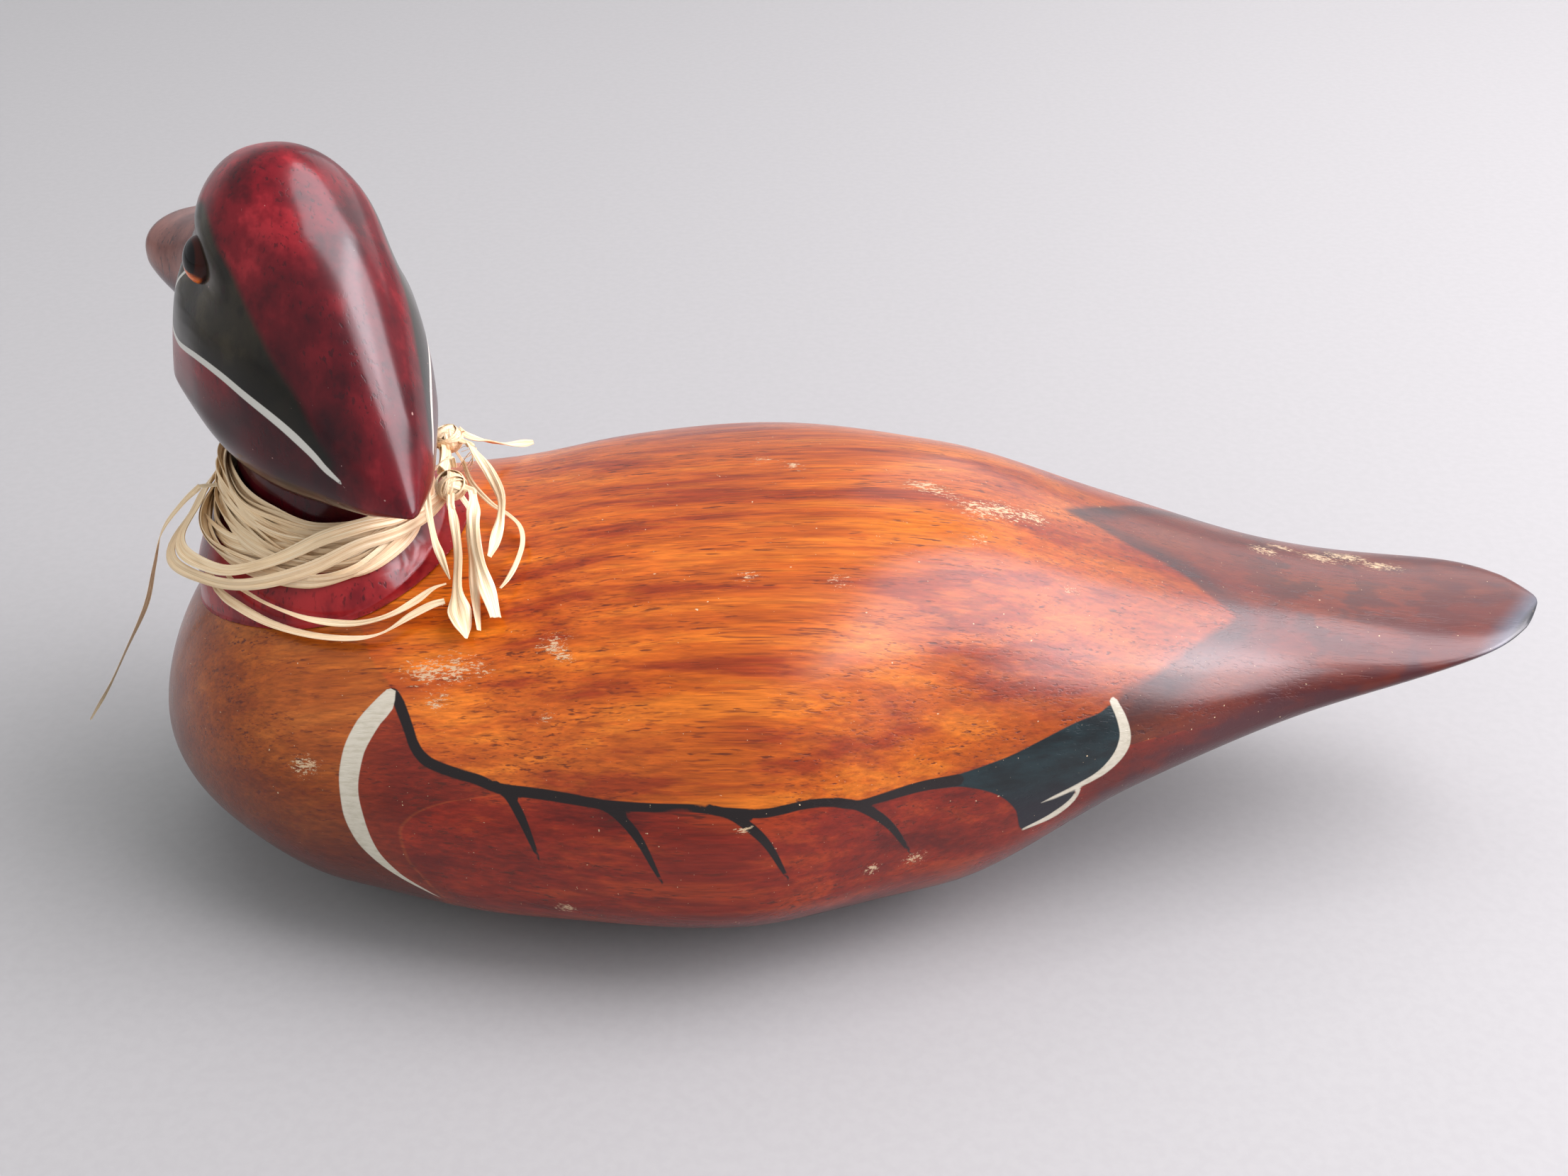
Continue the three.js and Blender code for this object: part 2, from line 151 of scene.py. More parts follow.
class Form:
    """A carved form: rounded sections along its length."""

    def __init__(self, start, end, start_round, end_round, **tracks):
        self.start, self.end = start, end
        self.start_round, self.end_round = start_round, end_round
        self.half_width, self.widest = tracks["half_width"], tracks["widest"]
        self.top, self.bottom = tracks["top"], tracks["bottom"]
        self.upper_power, self.lower_power = tracks["upper_power"], tracks["lower_power"]
        self.carve = tracks.get("carve", lambda place, across, height, rise: across)

    def section(self, place):
        """Half width, height of the widest line, reach up and down, and both powers."""
        round_off = opening(place - self.start, self.start_round)
        round_off = round_off * opening(self.end - place, self.end_round)
        top, bottom = self.top(place), self.bottom(place)
        middle = bottom + (top - bottom) * self.widest(place)
        return (
            self.half_width(place) * round_off,
            middle,
            (top - middle) * round_off,
            (middle - bottom) * round_off,
            self.upper_power(place),
            self.lower_power(place),
        )

    def loft(self, steps, around, even=0.0, flank=0.0):
        """Points and faces of the closed surface, even along it by a share, and denser on its flanks."""
        step = np.arange(1, steps) / steps
        share = even * step + (1 - even) * (1 - np.cos(np.pi * step)) / 2
        place = (self.start + (self.end - self.start) * share)[:, None]
        angle = (2 * np.pi * np.arange(around) / around)[None, :]
        angle = angle - flank * np.sin(2 * angle)
        half, middle, up, down, upper, lower = self.section(place)
        sine = np.sin(angle)
        power = 2 / np.where(sine >= 0, upper, lower)
        rise = signed_power(sine, power)
        height = middle + np.where(sine >= 0, up, down) * rise
        across = self.carve(place, half * signed_power(np.cos(angle), power), height, rise)
        rings = np.stack([place + 0 * angle, across, height], axis=-1)
        tips = [[p, 0, self.section(np.array(p))[1]] for p in (self.start, self.end)]
        return skin(rings, *tips)

    def top_at(self, place, across):
        """Height of the upper surface."""
        half, middle, up, _, upper, _ = self.section(place)
        share = np.clip(np.abs(across) / np.maximum(half, 1e-6), 0, 1)
        return middle + up * (1 - share**upper) ** (1 / upper)

    def side_at(self, place, height):
        """Half width of the surface at a height."""
        half, middle, up, down, upper, lower = self.section(place)
        above = height >= middle
        reach = np.where(above, up, down)
        power = np.where(above, upper, lower)
        share = np.clip(np.abs(height - middle) / np.maximum(reach, 1e-6), 0, 1)
        rise = np.where(above, share, -share)
        return self.carve(place, half * (1 - share**power) ** (1 / power), height, rise)


def quad(at, ring, side):
    """A face between two rings, with at giving the number of a ring's point."""
    return at(ring, side), at(ring, side + 1), at(ring + 1, side + 1), at(ring + 1, side)


def skin(rings, first_tip, last_tip):
    """Points and faces through rings of points, closed by a tip at each end."""
    count, around = rings.shape[:2]
    points = np.vstack([[first_tip], rings.reshape(-1, 3), [last_tip]])
    at = lambda ring, side: 1 + ring * around + side % around
    faces = []
    for side in range(around):
        faces.append((0, at(0, side + 1), at(0, side)))
        faces.append((len(points) - 1, at(count - 1, side), at(count - 1, side + 1)))
        faces.extend(quad(at, ring, side) for ring in range(count - 1))
    return points, faces


def new_object(name, points, faces, smooth=True):
    mesh = bpy.data.meshes.new(name)
    mesh.from_pydata((np.asarray(points) * MM).tolist(), [], faces)
    mesh.validate()
    made = bpy.data.objects.new(name, mesh)
    bpy.context.scene.collection.objects.link(made)
    if smooth:
        mesh.polygons.foreach_set("use_smooth", [True] * len(mesh.polygons))
    return made


def points_of(obj):
    """The vertices of an object in millimetres."""
    flat = np.empty(len(obj.data.vertices) * 3)
    obj.data.vertices.foreach_get("co", flat)
    return flat.reshape(-1, 3) / MM


def set_points(obj, points):
    obj.data.vertices.foreach_set("co", (points * MM).ravel())
    obj.data.update()


def paint(obj, name, values):
    """A value at each vertex, for the materials to read."""
    layer = obj.data.attributes.new(name, "FLOAT", "POINT")
    layer.data.foreach_set("value", np.asarray(values, dtype=np.float32))


def applied(obj, kind, **settings):
    """The object's mesh with one modifier applied."""
    modifier = obj.modifiers.new(kind, kind)
    for key, value in settings.items():
        setattr(modifier, key, value)
    graph = bpy.context.evaluated_depsgraph_get()
    mesh = bpy.data.meshes.new_from_object(obj.evaluated_get(graph))
    obj.modifiers.remove(modifier)
    obj.data = mesh
    return obj


def line_distance(points, line):
    """Distance of each point to a line, and how far along it the nearest place is, from 0 to 1."""
    best = np.full(len(points), 1e9)
    along = np.zeros(len(points))
    ends = np.concatenate([[0], np.cumsum(np.linalg.norm(np.diff(line, axis=0), axis=1))])
    low, high = line.min(axis=0) - 12, line.max(axis=0) + 12
    near = np.all((points > low) & (points < high), axis=1)
    some = points[near]
    nearest, place = best[near], along[near]
    for i in range(len(line) - 1):
        side = line[i + 1] - line[i]
        t = np.clip((some - line[i]) @ side / max(side @ side, 1e-9), 0, 1)
        gap = np.linalg.norm(some - line[i] - t[:, None] * side, axis=1)
        closer = gap < nearest
        nearest[closer] = gap[closer]
        place[closer] = ((ends[i] + t * (ends[i + 1] - ends[i])) / ends[-1])[closer]
    best[near], along[near] = nearest, place
    return best, along


def area_distance(points, outline):
    """Signed distance of 2-D points to a closed outline, positive inside."""
    best = np.full(len(points), 1e9)
    inside = np.zeros(len(points), bool)
    for a, b in zip(outline, np.roll(outline, -1, axis=0)):
        side = b - a
        t = np.clip((points - a) @ side / max(side @ side, 1e-9), 0, 1)
        best = np.minimum(best, np.linalg.norm(points - a - t[:, None] * side, axis=1))
        crosses = (a[1] > points[:, 1]) != (b[1] > points[:, 1])
        rise = np.where(b[1] == a[1], 1e-9, b[1] - a[1])
        reach = a[0] + (points[:, 1] - a[1]) * (b[0] - a[0]) / rise
        inside ^= crosses & (points[:, 0] < reach)
    return np.where(inside, best, -best)


# Node graphs
class Graph:
    """A material's node tree, with short ways to add to it."""

    def __init__(self, name):
        self.material = bpy.data.materials.new(name)
        self.material.use_nodes = True
        self.tree = self.material.node_tree
        self.shader = self.tree.nodes["Principled BSDF"]
        self.position = self.vector("SCALE", self.node("TexCoord").outputs["Object"], 1 / MM)

    def feed(self, socket, value):
        if isinstance(value, bpy.types.NodeSocket):
            self.tree.links.new(value, socket)
        else:
            socket.default_value = value

    def node(self, kind, *values, **settings):
        """A new node with its settings, its inputs fed with the values in their order."""
        made = self.tree.nodes.new("ShaderNode" + kind)
        for key, value in settings.items():
            setattr(made, key, value)
        for socket, value in zip(made.inputs, values):
            self.feed(socket, value)
        return made

    def vector(self, operation, a, b):
        made = self.node("VectorMath", a, operation=operation)
        self.feed(made.inputs["Scale" if operation == "SCALE" else 1], b)
        return made.outputs[0]

    def math(self, operation, *values):
        return self.node("Math", *values, operation=operation).outputs[0]

    def times(self, a, b):
        return self.math("MULTIPLY", a, b)

    def plus(self, a, b):
        return self.math("ADD", a, b)

    def minus(self, a, b):
        return self.math("SUBTRACT", a, b)

    def most(self, a, b):
        return self.math("MAXIMUM", a, b)

    def grey(self, value):
        """The same value in all three channels."""
        return self.node("CombineXYZ", value, value, value).outputs[0]

    def remap(self, value, low, high, to_low=0.0, to_high=1.0, kind="LINEAR"):
        return self.node("MapRange", value, low, high, to_low, to_high, interpolation_type=kind).outputs[0]

    def ease(self, *stops):
        """Like remap, with a soft start and end."""
        return self.remap(*stops, kind="SMOOTHSTEP")

    def mix(self, share, a, b, blend="MIX"):
        made = self.node("Mix", data_type="RGBA", blend_type=blend, clamp_factor=True)
        self.feed(made.inputs[0], share)
        for socket, colour in zip(made.inputs[6:8], (a, b)):
            self.feed(socket, (*colour, 1) if isinstance(colour, tuple) else colour)
        return made.outputs[2]

    def over(self, share, colour, blend="MIX"):
        """Lays a colour over the colour so far."""
        self.colour = self.mix(share, self.colour, colour, blend)

    def noise(self, size, detail=3.0, roughness=0.5, shift=0.0, source=None):
        """Noise from about 0 to 1, whose grain has the given size in millimetres along x, y and z."""
        scaled = self.vector("MULTIPLY", source or self.position, tuple(1 / s for s in size))
        moved = self.vector("ADD", scaled, (shift, shift * 1.7, shift * 2.3))
        made = self.node("TexNoise", moved)
        made.inputs["Scale"].default_value = 1.0
        made.inputs["Detail"].default_value = detail
        made.inputs["Roughness"].default_value = roughness
        return made.outputs["Fac"]

    def painted(self, name):
        return self.node("Attribute", attribute_name=name).outputs["Fac"]

    def ramp(self, value, *stops):
        made = self.node("ValToRGB", value)
        made.color_ramp.interpolation = "EASE"
        while len(made.color_ramp.elements) < len(stops):
            made.color_ramp.elements.new(0.5)
        for element, (place, colour) in zip(made.color_ramp.elements, stops):
            element.position = place
            element.color = (*colour, 1)
        return made.outputs[0]

    def bump(self, height, strength, distance):
        made = self.node("Bump")
        made.inputs["Strength"].default_value = strength
        made.inputs["Distance"].default_value = distance
        self.feed(made.inputs["Height"], height)
        self.feed(self.shader.inputs["Normal"], made.outputs[0])

    def finish(self, colour, roughness, **plain):
        self.feed(self.shader.inputs["Base Color"], colour)
        self.feed(self.shader.inputs["Roughness"], roughness)
        for name, value in plain.items():
            self.shader.inputs[name.replace("_", " ")].default_value = value
        return self.material


# Loose strands of raffia, with routes as in the CAD model, from the wound part or a knot to their ends.
# width is the widest place; shape gives shares of it along the strand; leader is where it comes from.
STRANDS = {
    "strand_front_outer": {
        "width": 2.2,
        "shape": [(0, 0.7), (0.3, 1), (0.5, 0.85), (0.64, 0.35), (0.74, 0.75), (1, 0.6)],
        "leader": (-135, -21, 73),
        "route": [
            (-132, -25.4, 70), (-128.2, -28.8, 69), (-120, -33.4, 67), (-110.7, -37, 66.3),
            (-101.7, -38.6, 66.4), (-95.4, -38.3, 67.4), (-89.5, -35.6, 69.9), (-85.3, -34, 71.5),
            (-82.6, -33.2, 72),
        ],
    },
    "strand_front_inner": {
        "width": 1.5,
        "shape": [(0, 0.7), (0.3, 1), (0.6, 0.7), (0.8, 1), (1, 0.7)],
        "leader": (-130, -25, 74.5),
        "route": [
            (-126.8, -27.8, 72.2), (-120.4, -31.2, 70.3), (-112.4, -34.5, 69), (-105.7, -35.8, 68.4),
            (-99.7, -36.1, 68.6), (-93.9, -35.1, 69.8), (-88.9, -32.7, 71.6), (-85.3, -30.6, 73.4),
            (-82.6, -29.7, 74),
        ],
    },
    "strand_tail_thin": {
        "width": 1.8,
        "shape": [(0, 0.8), (0.25, 0.5), (0.5, 0.9), (0.75, 1), (0.92, 0.7), (1, 0.2)],
        "leader": (-82.6, -9, 90),
        "route": [
            (-82.6, -10.4, 93.3), (-84.6, -13.4, 93.3), (-86.4, -16.8, 91.4), (-86.8, -19, 87.8),
            (-86.2, -21.2, 84), (-85.1, -24, 80.6), (-83.6, -27, 78.9), (-81.2, -32.1, 76.6),
        ],
    },
    "strand_tail_wide": {
        "width": 3.6,
        "shape": [(0, 0.55), (0.3, 0.8), (0.6, 0.75), (0.9, 1), (1, 0.75)],
        "leader": (-81.5, -11.8, 87.4),
        "route": [
            (-78.4, -13.6, 87), (-77.6, -17, 85.8), (-77.4, -20.6, 84), (-76.4, -25.6, 81),
            (-75, -29.6, 77.4), (-73.2, -33.8, 74), (-71.4, -38.4, 71.3),
        ],
    },
    "strand_tail_fold": {
        "width": 4.6,
        "shape": [(0, 0.4), (0.35, 0.45), (0.6, 0.6), (0.8, 1), (0.88, 0.95), (1, 0.12)],
        "leader": (-83, -13, 87),
        "route": [
            (-82.4, -17.6, 86), (-81.4, -20.6, 82.9), (-80.4, -25.2, 78.6), (-80, -31.8, 74.2),
            (-79, -36.7, 71.1), (-77.2, -41.7, 68.4),
        ],
    },
    "strand_tail_middle": {
        "width": 2.2,
        "shape": [(0, 0.7), (0.4, 1), (0.8, 0.9), (1, 0.4)],
        "leader": (-82, -11.5, 86),
        "route": [
            (-79.4, -12.8, 82), (-78.8, -16.4, 81.2), (-78.4, -20.4, 79), (-77.2, -26.8, 76.2),
            (-76.1, -33.4, 72.8), (-74.7, -40.4, 69.5),
        ],
    },
    "strand_loop_thick": {
        "width": 2.6,
        "shape": [(0, 0.8), (0.3, 1), (0.6, 0.75), (0.85, 0.9), (1, 0.4)],
        "leader": (-85, 8.5, 87.6),
        "route": [
            (-82, 6.4, 87.4), (-79.4, 1.8, 87), (-75.8, -4.2, 85.5), (-73.2, -9.3, 83),
            (-72.9, -14.4, 80.4), (-73.5, -19.4, 78.3), (-74.3, -23.6, 76.8),
        ],
    },
    "strand_loop_thin": {
        "width": 1.3,
        "shape": [(0, 0.8), (0.5, 1), (0.8, 0.8), (1, 0.5)],
        "leader": (-86, 8, 86),
        "route": [
            (-83.6, 6.2, 82.9), (-80.8, -0.8, 81.6), (-76.2, -5.8, 79.4), (-72, -9.6, 78.8),
            (-69, -13.8, 78.4), (-67.8, -19.1, 77.6), (-68.4, -24.8, 76.2), (-69.8, -29, 74.8),
            (-71.2, -31.3, 73.9),
        ],
    },
    "strand_back": {
        "width": 2.6,
        "turn": -0.7,
        "shape": [(0, 0.7), (0.3, 1), (0.6, 0.8), (0.9, 0.65), (1, 0.4)],
        "leader": (-86.6, 10, 87.6),
        "route": [
            (-85.2, 14, 86.6), (-84.2, 18, 83.2), (-81.8, 24, 78.8), (-79.1, 30, 74.6),
            (-76.4, 35.6, 71.6), (-73.4, 40.6, 69.4),
        ],
    },
    "strand_long": {
        "width": 1.3,
        "shape": [(0, 1), (0.3, 0.8), (0.6, 1), (0.9, 0.7), (1, 0.3)],
        "leader": (-132, -13.5, 88.5),
        "route": [
            (-135.4, -14.4, 88.6), (-139.8, -14.6, 84.6), (-145.4, -14.2, 77.6), (-149.8, -11.4, 67),
            (-155, -7.5, 54.5), (-163.6, -2.5, 39.5), (-172.4, 3.5, 24.5), (-181.4, 9.4, 10.6),
        ],
    },
}


class Ribbons:
    """Flat creased strands gathered into one mesh, each with its own way along and across."""

    # Across a strand: sideways and outward, in shares of its width
    SECTION = [
        (-0.5, 0.0), (-0.24, 0.11), (0.08, 0.02), (0.3, 0.10), (0.5, 0.03), (0.47, -0.03), (0.3, 0.03),
        (0.08, -0.06), (-0.24, 0.03), (-0.47, -0.06),
    ]

    def __init__(self):
        self.points, self.faces, self.across, self.along, self.tone = [], [], [], [], []

    def add(self, line, width, outward, twist=0.0, closed=False, crease=1.0, seed=0):
        """A strand along a line; width is one number or one at each point, outward its flat side's way."""
        line = np.asarray(line, float)
        count = len(line)
        if closed:
            tangent = np.roll(line, -1, axis=0) - np.roll(line, 1, axis=0)
        else:
            tangent = np.gradient(line, axis=0)
        tangent /= np.linalg.norm(tangent, axis=1)[:, None]
        outward = np.broadcast_to(outward, line.shape).astype(float)
        outward = outward - (outward * tangent).sum(axis=1)[:, None] * tangent
        outward /= np.linalg.norm(outward, axis=1)[:, None]
        side = np.cross(tangent, outward)
        turn = np.broadcast_to(twist, count)[:, None]
        flat = side * np.cos(turn) + outward * np.sin(turn)
        face = outward * np.cos(turn) - side * np.sin(turn)
        width = np.broadcast_to(width, count)[:, None, None]
        section = np.array(self.SECTION) * (1, crease)
        rings = (
            line[:, None]
            + flat[:, None] * section[None, :, :1] * width
            + face[:, None] * section[None, :, 1:] * width
        )
        base, around = len(self.points), len(section)
        self.points.extend(rings.reshape(-1, 3).tolist())
        steps = np.linalg.norm(np.diff(line, axis=0), axis=1)
        distance = np.concatenate([[0], np.cumsum(steps)]) + 37.0 * seed
        for i in range(count):
            self.across.extend((section[:, 0] * 2 + 5.0 * seed).tolist())
            self.along.extend([distance[i]] * around)
            self.tone.extend([seed * 0.618 % 1] * around)
        at = lambda ring, s: base + (ring % count) * around + s % around
        for ring in range(count if closed else count - 1):
            for s in range(around):
                self.faces.append(quad(at, ring, s))
        if not closed:
            self.faces.append(tuple(at(0, s) for s in reversed(range(around))))
            self.faces.append(tuple(at(count - 1, s) for s in range(around)))

    def build(self, name, material):
        made = new_object(name, self.points, self.faces, smooth=False)
        paint(made, "across", self.across)
        paint(made, "along", self.along)
        paint(made, "tone", self.tone)
        made.data.materials.append(material)
        return made


def raffia_material():
    g = Graph("raffia")
    strand = g.node("CombineXYZ", g.painted("along"), g.painted("across")).outputs[0]
    fibre = g.noise((22, 0.13, 1), detail=3, source=strand)
    patch = g.noise((9, 0.9, 1), detail=2, source=strand, shift=3.1)
    g.colour = g.ramp(fibre,
        (0.28, (0.62, 0.38, 0.17)), (0.46, (0.88, 0.66, 0.40)), (0.7, (0.95, 0.82, 0.60))
    )
    g.over(g.ease(patch, 0.52, 0.78, 0, 0.55), (0.56, 0.38, 0.20))
    g.over(g.remap(g.painted("tone"), 0.3, 1, 0, 0.4), (0.58, 0.42, 0.25))
    g.bump(fibre, 0.5, 0.00025)
    return g.finish(g.colour, g.remap(fibre, 0.3, 0.7, 0.60, 0.42))


RAFFIA = raffia_material()


# Height of the line that the strands on the body turn their flat sides away from
AXIS_HEIGHT = 20.0


def away_from_body(line):
    """From the middle of the body out through each point of a line."""
    return line * (0, 1, 1) - (0, 0, AXIS_HEIGHT)


def add_strand(name, strand, seed):
    rng = np.random.default_rng(seed)
    line = smooth_line(strand["route"], 8)
    count = len(line)
    share = np.linspace(0, 1, count)
    widths = strand["width"] * track(strand["shape"])(share)
    widths *= 1 + 0.08 * np.sin(share * rng.uniform(14, 22) + rng.uniform(0, 6))
    twist = strand.get("turn", 0) + 0.7 * np.sin(share * rng.uniform(4, 8) + rng.uniform(0, 6))
    ribbons = Ribbons()
    ribbons.add(line, widths, away_from_body(line), twist=twist, crease=1.2, seed=seed)
    made = ribbons.build(name + "_raffia", RAFFIA)
    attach(made, "root")
    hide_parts(name)


for number, (strand_name, strand) in enumerate(STRANDS.items()):
    add_strand(strand_name, strand, seed=number + 1)


# Body
def body_track(stops, size=1.0):
    return track([(CHEST + BODY_LENGTH * s, v * size) for s, v in stops], blur=4.0)


BODY = Form(
    start=CHEST,
    end=-CHEST,
    start_round=0.16 * BODY_LENGTH,
    end_round=0.018 * BODY_LENGTH,
    half_width=body_track(
        [
            (0, 0.56), (0.03, 0.65), (0.08, 0.72), (0.16, 0.79), (0.28, 0.92), (0.42, 1), (0.56, 0.81),
            (0.7, 0.594), (0.82, 0.39), (0.92, 0.295), (0.965, 0.22), (1, 0.06),
        ],
        BODY_HALF_WIDTH,
    ),
    top=body_track(
        [
            (0, 0.777), (0.03, 0.875), (0.08, 0.92), (0.16, 0.912), (0.25, 0.917), (0.33, 0.962),
            (0.42, 0.988), (0.5, 1), (0.57, 0.985), (0.7, 0.833), (0.82, 0.707), (0.92, 0.646),
            (1, 0.631),
        ],
        BODY_HEIGHT,
    ),
    bottom=body_track(
        [
            (0, 2), (0.03, 4), (0.08, 5), (0.16, 0), (0.28, -2.5), (0.42, -2.5), (0.56, -1.5), (0.7, 21),
            (0.82, 33), (0.92, 43), (1, 49.5),
        ]
    ),
    widest=body_track([(0, 0.4), (0.3, 0.33), (0.6, 0.33), (0.85, 0.4), (1, 0.6)]),
    upper_power=body_track([(0, 1.8), (0.5, 2.2), (0.8, 2.1), (1, 1.7)]),
    lower_power=body_track(
        [(0, 2.2), (0.15, 2.1), (0.3, 1.92), (0.48, 1.85), (0.62, 2.05), (1, 1.85)]
    ),
)

# Painted marks on the body, the same on both sides: x, distance from the middle plane, z
WING_LINE = [
    (-92.6, 46.9, 59.6), (-91, 49, 57.6), (-88.8, 53.1, 54.1), (-87.4, 55.6, 51.4), (-84.8, 57.6, 49.3),
    (-80, 59.6, 48.3), (-74.1, 61.5, 47.6), (-69.4, 63.3, 46.7), (-61.2, 65, 46.8), (-54.2, 66.8, 46.8),
    (-47.3, 68.5, 46.7), (-38.2, 70, 47.2), (-31.5, 70.7, 47.7), (-23.7, 71, 47), (-15.9, 70.3, 46.2),
    (-9.1, 68.5, 46.7), (-3.5, 66.6, 46), (1.6, 65.2, 44.3), (6.7, 63.1, 44.3), (14.8, 59.7, 44.6),
    (22.5, 57, 44.2),
]
WING_LINE_WIDTH = [(0, 1.1), (0.03, 1.25), (0.3, 1.15), (0.6, 0.95), (0.85, 0.95), (1, 1.3)]
SCALLOPS = [
    [(-70.5, 47), (-67.6, 45.6), (-64.7, 41.2), (-61.6, 33.6)],
    [(-50.5, 46.8), (-46.2, 45.6), (-41.2, 40.8), (-36.6, 31.4)],
    [(-27, 47.4), (-22, 45.9), (-16, 40.4), (-11.4, 30.9)],
    [(-2, 45.8), (2.9, 43.6), (8.6, 38.2), (13.4, 29.6)],
]
SPECULUM = [
    (17, 44.6), (22.4, 45.4), (27.2, 46), (33.6, 47.1), (40.3, 49), (46.9, 50.8), (51.9, 51.6),
    (55, 52.6), (57, 49.2), (57.4, 45.5), (56.2, 42.3), (53, 39.2), (48.2, 37), (46.7, 33.8), (42.7, 31),
    (36.6, 29.2), (34.9, 34.6), (31.7, 38.6), (27.3, 41.2), (22.4, 42.9), (17, 43.6),
]
CREAM_LINES = [
    {
        "line": [
            (55, 42.1, 53), (56.9, 43.5, 49.2), (57.6, 44.7, 45.5), (56.4, 46.3, 42.3), (53, 47.9, 39.2),
            (48.1, 49.8, 37.2), (40.1, 52.9, 34.9),
        ],
        "width": [(0, 0.9), (0.3, 1.45), (0.6, 0.75), (0.9, 0.5), (1, 0.25)],
    },
    {
        "line": [(48.6, 49.6, 37.2), (46.9, 50.7, 33.8), (42.7, 52.3, 31), (36.4, 54.6, 29.2)],
        "width": [(0, 0.5), (0.5, 0.75), (1, 0.25)],
    },
]
# Across the flank: x by the height
CRESCENT_FRONT = [
    (18.4, -83.4), (20.8, -87.2), (23.3, -91.7), (26.7, -96.7), (31.5, -100.9), (37.7, -103.1),
    (43.5, -103.5), (48.2, -102.7), (53.4, -100), (56.9, -96.4), (59.6, -92.8),
]
CRESCENT_BACK = [
    (18.4, -83.2), (20.8, -86.2), (24.9, -92.2), (29.8, -96.3), (36.2, -98.5), (42, -99.5), (48, -98.4),
    (53.2, -95.3), (57.2, -91.9), (59.6, -91.8),
]
BREAST_EDGE = [
    (0, -79), (20.8, -86.5), (25.8, -94.5), (30.7, -98.6), (37, -100.8), (42.7, -101.5), (48.1, -100.5),
    (53.3, -97.6), (57, -94.2), (59.6, -92.5), (60.6, -94.9), (64, -98.6), (68, -101.2), (74, -103.5),
    (90, -106),
]
FLANK_ARC = [
    (0, -78), (20, -83.5), (24.1, -86.2), (29, -89.8), (34.7, -90.9), (38.5, -88.3), (42.2, -81.5),
    (45, -71.4), (60, -20),
]
# Along the body: height by x of the edge of the painted shade on the underside
SHADED_UNDERSIDE_EDGE = [
    (-155, -30), (20, -30), (38, 10), (52, 31), (56.5, 35.4), (66.5, 38.4), (84, 43.6), (101.6, 44.9),
    (120.8, 47.3), (155, 50.4),
]
# The folded wings from above: x and distance from the middle plane, on the left and on the right
WING_LEFT = [
    (46.5, -0.5), (50, 0), (54.5, 0.8), (62.2, 5.5), (71.8, 10.1), (79, 16), (83.5, 19.8), (77.5, 25.5),
    (71.3, 30.7), (65.1, 36), (57.1, 40.9), (54, 46), (52, 60),
]
WING_RIGHT = [
    (46.5, -0.5), (48, 1), (52, 4.5), (58.8, 10), (70, 18.9), (80, 23.5), (84.5, 26.5), (77, 31.5),
    (66, 37), (57.5, 41.5), (54, 46), (52, 60),
]
# Scuffed spots: x, y, z and reach
SCUFFS = [
    (-85.7, -44.7, 62.7, 4.5), (-80.5, -45, 63.6, 5), (-75, -46, 64, 3), (17, -2.2, 80.6, 3.5),
    (21, -4, 80, 3), (29.3, -8.6, 78.1, 4.5), (33.5, -7.5, 77, 5), (40, -6.5, 75, 4),
    (28, -19, 76.5, 2.2), (94.5, 8, 58.4, 3.6), (99.5, 12, 56.6, 3), (108, 10, 55.6, 4.2),
    (115, 13, 53.8, 5), (122, 9.8, 53.4, 4), (-59.3, -43.3, 68.7, 2.8), (-57, -46, 68, 2.2),
    (-18, 8.5, 82.7, 2.6), (-11, 5.6, 82.5, 1.8), (-60.1, -55.8, 59.2, 1.8), (-83.7, -50.1, 58.7, 2.6),
    (-1.2, -33.4, 76.8, 2.2), (-20, -33, 78, 2), (-110.8, -53.7, 45.2, 3), (-56.7, -71.2, 22.5, 2),
    (5.1, -66.4, 28.8, 1.8), (13.9, -62.8, 28.6, 2.2), (-20.2, -72.1, 43.5, 1.6),
    (47.1, -25.2, 68.1, 1.6),
]


# Steps of the body's mesh along and around, the lowest and highest places of the crescent, and the values
# painted past its ends and far from any other mark
BODY_STEPS = 440
BODY_AROUND = 222
CRESCENT_LOW, CRESCENT_HIGH = 18.4, 59.7
PAST_ITS_END = -5
FAR_OUTSIDE = -50.0
SCALLOP_WIDTH = [(0, 1.0), (0.45, 1.0), (0.8, 0.6), (1, 0.2)]


def width_along(stops, along):
    places, widths = zip(*stops)
    return np.interp(along, places, widths)


